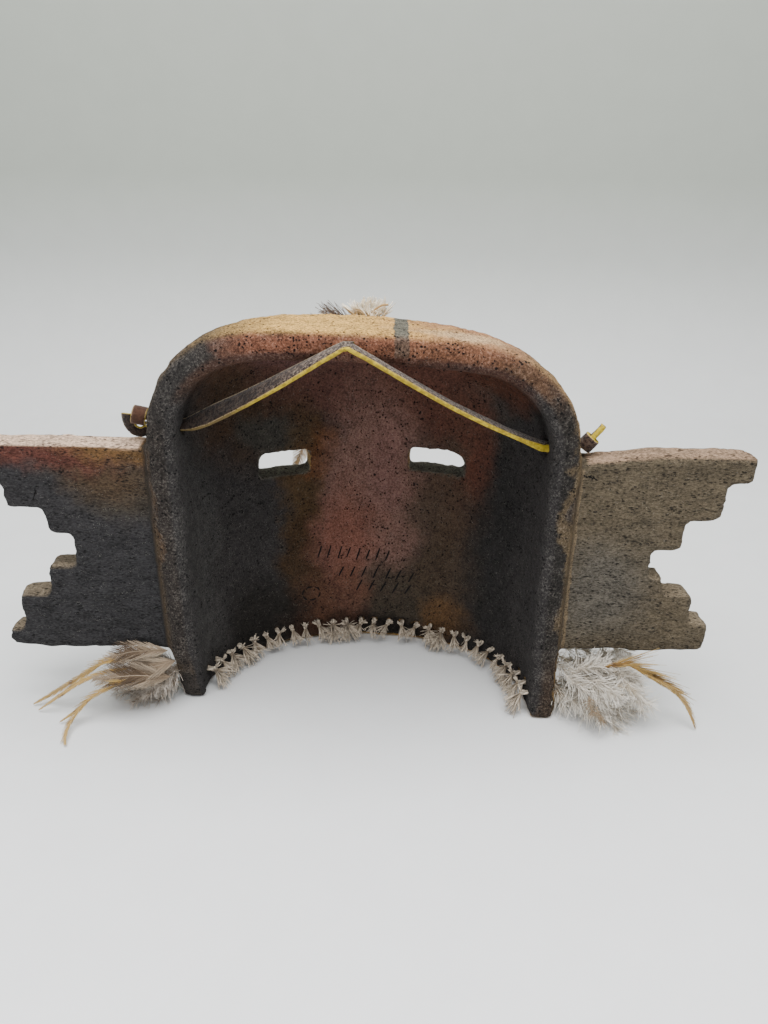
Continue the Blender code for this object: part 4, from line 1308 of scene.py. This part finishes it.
def barbs(
    rng, shaft, width, count, radius, face, angle=38, curl=0.25, ragged=0.12, patch=(2.0, 2.0), taper=0.0
):
    """The barbs on both sides of a shaft, lying in the plane whose normal is face, each with its mark.

    The barbs that grow from the part of the shaft between the two shares in patch have a mark of 1.
    """
    made = []
    last = len(shaft) - 1
    face = Vector(face).normalized()
    for index in range(count):
        share = (index + rng.uniform(-0.3, 0.3)) / count
        share = min(max(share, 0.0), 0.999)
        spot = share * last
        low = int(spot)
        base = shaft[low].lerp(shaft[min(low + 1, last)], spot - low)
        forward = (shaft[min(low + 1, last)] - shaft[max(low - 1, 0)]).normalized()
        across = forward.cross(face).normalized()
        reach = width * (math.sin(math.pi * min(share * 0.9 + 0.10, 1.0) ** 0.8) ** 0.7 + 0.08)
        reach *= 1 - taper * share
        for side in (-1, 1):
            opening = math.radians(angle + rng.uniform(-6, 6))
            heading = forward * math.cos(opening) + across * side * math.sin(opening)
            heading += face * rng.uniform(-0.05, 0.05)
            length = reach / math.sin(opening) * (1 + rng.uniform(-ragged, ragged))
            path = []
            spot_on = base.copy()
            for step in range(5):
                part = step / 4
                thick = radius * (1 - 0.6 * part)
                lifted = above_floor(spot_on, thick)
                path.append((*lifted, thick))
                bent = heading + forward * curl * part - face * 0.10 * part
                spot_on = spot_on + bent.normalized() * length / 4
            inside = patch[0] + rng.uniform(-0.14, 0.14) < share < patch[1] + rng.uniform(-0.14, 0.14)
            made.append((path, 1.0 if inside else 0.0))
    return made


def feather(rng, knots, width, count, radius, face, stem, **shape):
    """A whole feather: its shaft through the knots and its barbs, as marked paths."""
    shaft = smoothed(knots, 6)
    return [(quill(shaft, stem, stem * 0.35), 0.0)] + barbs(rng, shaft, width, count, radius, face, **shape)


def marked_fibres(name, pairs, *materials):
    return fibres(name, [path for path, _ in pairs], *materials, marks=[mark for _, mark in pairs])


def quill(shaft, thick, thin):
    """The shaft of a feather, thick at its root."""
    last = len(shaft) - 1
    return [(*point, thick + (thin - thick) * index / last) for index, point in enumerate(shaft)]


def plume(rng, root, direction, length, reach, count, radius):
    """A downy plume: loose fibres all round a short soft shaft."""
    direction = Vector(direction).normalized()
    sideways = direction.orthogonal().normalized()
    paths = []
    shaft = []
    spot = Vector(root)
    heading = direction.copy()
    for step in range(6):
        shaft.append(above_floor(spot, radius))
        heading = (heading + any_way(rng) * 0.12).normalized()
        spot = spot + heading * length / 5
    paths.append(quill(shaft, radius * 1.8, radius))
    for index in range(count):
        share = rng.random() ** 0.8
        low = int(share * 4.999)
        base = shaft[low].lerp(shaft[low + 1], share * 4.999 - low)
        turn = rng.uniform(0, 2 * math.pi)
        out = Matrix.Rotation(turn, 3, direction) @ sideways
        aim = out * rng.uniform(0.5, 1.0) + direction * rng.uniform(0.35, 1.0)
        long = reach * rng.uniform(0.55, 1.1) * (1 - 0.35 * share)
        paths.append(wisp(rng, base, aim, long, radius, 0.24, 0.10, points=5, tip=0.4))
    return paths


def down_bunch(rng, low, high, side, count, radius, reach):
    """Plumes that fill the space of a CAD bunch's downy body, from the wall outwards."""
    paths = []
    for index in range(count):
        across = rng.uniform(0.0, 1.0) ** 1.2
        x = low.x + (high.x - low.x) * (across if side > 0 else 1 - across)
        y = low.y + (high.y - low.y) * rng.uniform(0.05, 0.95)
        z = low.z + (high.z - low.z) * rng.uniform(0.10, 1.0)
        aim = Vector((side * rng.uniform(0.2, 1.0), rng.uniform(-0.4, 0.8), rng.uniform(-0.6, 0.05)))
        paths += plume(rng, (x, y, z), aim, rng.uniform(0.010, 0.016), reach, 56, radius)
    return paths


class MASK_OT_left_feathers(bpy.types.Operator):
    """Hangs grey-beige down, brown-patched vanes and golden hackles under the +X ear."""

    bl_idname = "mask.left_feathers"
    bl_label = "Left ear feathers"

    def execute(self, context):
        settings = context.scene.mask_feathers
        rng = random.Random(11)
        low, high = Vector((0.0945, 0.012, 0.003)), Vector((0.1240, 0.028, 0.020))
        down = down_bunch(rng, low, high, 1, settings.plumes + 16, settings.down, 0.0105)
        # Grey-beige down, darker overall and towards the roots under the ear: partly its own colour, partly
        # painted shade
        white = fibre_material("grey-beige down", (0.28, 0.22, 0.16), (0.64, 0.57, 0.49), 0.20)
        settle(fibres("left_ear_down", down, white), "feather", "left_ear_feathers")
        vanes = []
        thick = settings.barb * 1.1
        for knots, width, patch, face in LEFT_VANES:
            shape = dict(angle=30, curl=0.3, ragged=0.30, patch=patch)
            vanes += feather(rng, knots, width, 170, thick, face, 0.00040, **shape)
        root, tip, patched = (0.20, 0.145, 0.095), (0.36, 0.285, 0.205), (0.100, 0.066, 0.040)
        brown = fibre_material("brown-patched vane", root, tip, 0.28, marked=patched)
        settle(marked_fibres("left_ear_vanes", vanes, brown), "feather")
        hackles = []
        face = (0.3, 0.6, 0.7)
        for knots, width in LEFT_HACKLES:
            shape = dict(angle=16, curl=0.2, ragged=0.25)
            hackles += feather(rng, knots, width, 170, settings.barb, face, 0.00048, **shape)
        root, tip, bars = (0.36, 0.215, 0.055), (0.50, 0.335, 0.115), (150.0, 0.60, (0.20, 0.11, 0.04))
        gold = fibre_material("golden hackle", root, tip, 0.30, 0.6, bars=bars)
        settle(marked_fibres("left_ear_hackles", hackles, gold), "feather")
        return {"FINISHED"}


class MASK_OT_right_feathers(bpy.types.Operator):
    """Hangs grey-white down and a long golden hackle under the -X ear."""

    bl_idname = "mask.right_feathers"
    bl_label = "Right ear feathers"

    def execute(self, context):
        settings = context.scene.mask_feathers
        rng = random.Random(23)
        low, high = Vector((-0.1340, 0.006, 0.002)), Vector((-0.1000, 0.044, 0.029))
        down = down_bunch(rng, low, high, -1, settings.plumes + 40, settings.down * 1.15, 0.0125)
        # Grey-white down, darker towards the roots under the ear: painted shade
        white = fibre_material("grey-white down", (0.50, 0.44, 0.355), (0.86, 0.81, 0.72), 0.16)
        settle(fibres("right_ear_down", down, white), "feather", "right_ear_feathers")
        face, shape = (-0.35, 0.75, 0.55), dict(angle=12, curl=0.2, ragged=0.15, taper=0.65)
        hackles = feather(rng, RIGHT_HACKLE, 0.0031, 200, settings.barb * 1.1, face, 0.00050, **shape)
        face, shape = (-0.3, 0.8, 0.5), dict(angle=12, patch=(0.3, 1.2))
        hackles += feather(rng, RIGHT_DARK_HACKLE, 0.0006, 60, settings.barb * 0.8, face, 0.00030, **shape)
        root, tip, striped = (0.24, 0.130, 0.032), (0.46, 0.300, 0.090), (0.075, 0.055, 0.040)
        bars = (130.0, 0.56, (0.15, 0.080, 0.028))
        gold = fibre_material("striped golden hackle", root, tip, 0.32, 0.6, bars=bars, marked=striped)
        settle(marked_fibres("right_ear_hackles", hackles, gold), "feather")
        plumes = []
        for middle, way, mark in SEMIPLUMES:
            plumes += [(path, mark) for path in plume(rng, middle, way, 0.009, 0.0062, 70, settings.down)]
        root, tip, browned = (0.46, 0.38, 0.27), (0.66, 0.58, 0.46), (0.270, 0.195, 0.120)
        tan = fibre_material("pale semiplume", root, tip, 0.18, marked=browned)
        settle(marked_fibres("right_ear_semiplume", plumes, tan), "feather")
        return {"FINISHED"}


class MASK_OT_brow_feathers(bpy.types.Operator):
    """Binds two small tufts and two hanging feathers to the brow."""

    bl_idname = "mask.brow_feathers"
    bl_label = "Brow feathers"

    def execute(self, context):
        settings = context.scene.mask_feathers
        rng = random.Random(31)
        root = Vector((0.003, -0.0500, 0.1760))
        cream = []
        for index in range(120):
            off = Vector((rng.uniform(-0.004, 0.003), rng.uniform(-0.001, 0.002), rng.uniform(0, 0.006)))
            start = root + off
            share = rng.uniform(-1, 1)
            depth = -0.036 + rng.uniform(-0.003, 0.003)
            way = Vector((-0.0015 + 0.0098 * share, depth, 0.1975 - 0.0035 * share**2)) - start
            long = way.length * rng.uniform(0.85, 1.0)
            cream.append((wisp(rng, start, way, long, 0.00030, 0.05, 0.0, 6, 0.5), 0.0))
        for lock in range(26):
            x, y, z = rng.uniform(-0.0105, 0.0075), rng.uniform(-0.041, -0.034), rng.uniform(0.1860, 0.1900)
            start = Vector((x, y, z))
            aim = Vector((rng.uniform(-1, 1), rng.uniform(-0.3, 0.5), rng.uniform(0.25, 1.0)))
            for index in range(9):
                off = Vector((rng.uniform(-0.16, 0.16), rng.uniform(-0.16, 0.16), rng.uniform(-0.1, 0.1)))
                long = rng.uniform(0.0055, 0.0088)
                cream.append((wisp(rng, start, aim + off, long, 0.00032, 0.06, 0.0, 4, 0.4), 0.0))
        stub = smoothed(((-0.0005, -0.0400, 0.1860), (-0.0032, -0.0340, 0.1912), (-0.0075, -0.0320, 0.1945),
                         (-0.0108, -0.0315, 0.1949)), 3)
        cream.append(([(*point, 0.00055) for point in stub], 1.0))
        pale = fibre_material(
            "cream tuft", (0.58, 0.46, 0.30), (0.95, 0.88, 0.74), 0.30, marked=(0.40, 0.26, 0.11)
        )
        settle(marked_fibres("brow_cream_tuft", cream, pale), "feather", "brow_feathers")
        dark = []
        for index in range(70):
            off = Vector((rng.uniform(0.000, 0.005), rng.uniform(-0.001, 0.002), rng.uniform(0, 0.005)))
            start = root + off
            share = rng.uniform(-1, 1)
            height = 0.1950 - 0.0040 * share**2 - rng.uniform(0, 0.003)
            way = Vector((0.0195 + 0.0075 * share, -0.036, height)) - start
            dark.append(wisp(rng, start, way, way.length, 0.00017, 0.10, 0.0, 6, 0.6))
        grey = fibre_material("dark tuft", (0.09, 0.062, 0.045), (0.15, 0.11, 0.085), 0.3)
        settle(fibres("brow_dark_tuft", dark, grey), "feather")
        hanging = []
        thick, face = settings.barb * 1.3, (0, -1, 0.05)
        for knots, width, count in BROW_VANES:
            shape = dict(angle=38, curl=0.3, ragged=0.1)
            hanging += feather(rng, knots, width, count, thick, face, 0.00060, **shape)
        bars = (85.0, 0.56, (0.10, 0.07, 0.05))
        barred = fibre_material("cream barred vane", (0.50, 0.40, 0.27), (0.80, 0.72, 0.58), 0.12, bars=bars)
        settle(marked_fibres("brow_hanging_feathers", hanging, barred), "feather")
        wrap = []
        for turn in range(7):
            loop = []
            for step in range(13):
                angle = 2 * math.pi * step / 12
                rise = 0.0010 * (turn + step / 12)
                back = 0.0034 * math.sin(angle) - rise * 0.4
                spot = root + Vector((0.0052 * math.cos(angle), back, rise - 0.003))
                loop.append((*spot, 0.00055))
            wrap.append(loop)
        cotton = fibre_material("binding thread", (0.50, 0.42, 0.30), (0.56, 0.48, 0.36), 0.1)
        settle(fibres("brow_binding", wrap, cotton), "feather")
        return {"FINISHED"}


# Panel and running


class MASK_PT_panel(bpy.types.Panel):
    """Lists the mask's pieces in the sidebar."""

    bl_idname = "MASK_PT_panel"
    bl_label = "Clay mask"
    bl_space_type = "VIEW_3D"
    bl_region_type = "UI"
    bl_category = "Mask"

    def draw(self, context):
        layout = self.layout
        for made, settings in STEPS:
            layout.operator(made.bl_idname)
            if settings is not None:
                group_of = getattr(context.scene, settings)
                for name in group_of.bl_rna.properties.keys():
                    if name not in ("rna_type", "name"):
                        layout.prop(group_of, name)


STEPS = (
    (MASK_OT_camera, None),
    (MASK_OT_stage, "mask_stage"),
    (MASK_OT_lace, "mask_lace"),
    (MASK_OT_clay, "mask_clay"),
    (MASK_OT_strokes, None),
    (MASK_OT_ties, "mask_ties"),
    (MASK_OT_left_feathers, "mask_feathers"),
    (MASK_OT_right_feathers, None),
    (MASK_OT_brow_feathers, None),
)
SETTINGS = {
    "mask_stage": StageSettings,
    "mask_lace": LaceSettings,
    "mask_clay": ClaySettings,
    "mask_ties": TieSettings,
    "mask_feathers": FeatherSettings,
}


def register():
    for name, kind in SETTINGS.items():
        bpy.utils.register_class(kind)
        setattr(bpy.types.Scene, name, PointerProperty(type=kind))
    for made, _ in STEPS:
        bpy.utils.register_class(made)
    bpy.utils.register_class(MASK_PT_panel)


def unregister():
    bpy.utils.unregister_class(MASK_PT_panel)
    for made, _ in reversed(STEPS):
        bpy.utils.unregister_class(made)
    for name, kind in SETTINGS.items():
        delattr(bpy.types.Scene, name)
        bpy.utils.unregister_class(kind)


def main():
    register()
    for made, _ in STEPS:
        section, name = made.bl_idname.split(".")
        getattr(getattr(bpy.ops, section), name)()


if __name__ == "__main__":
    main()
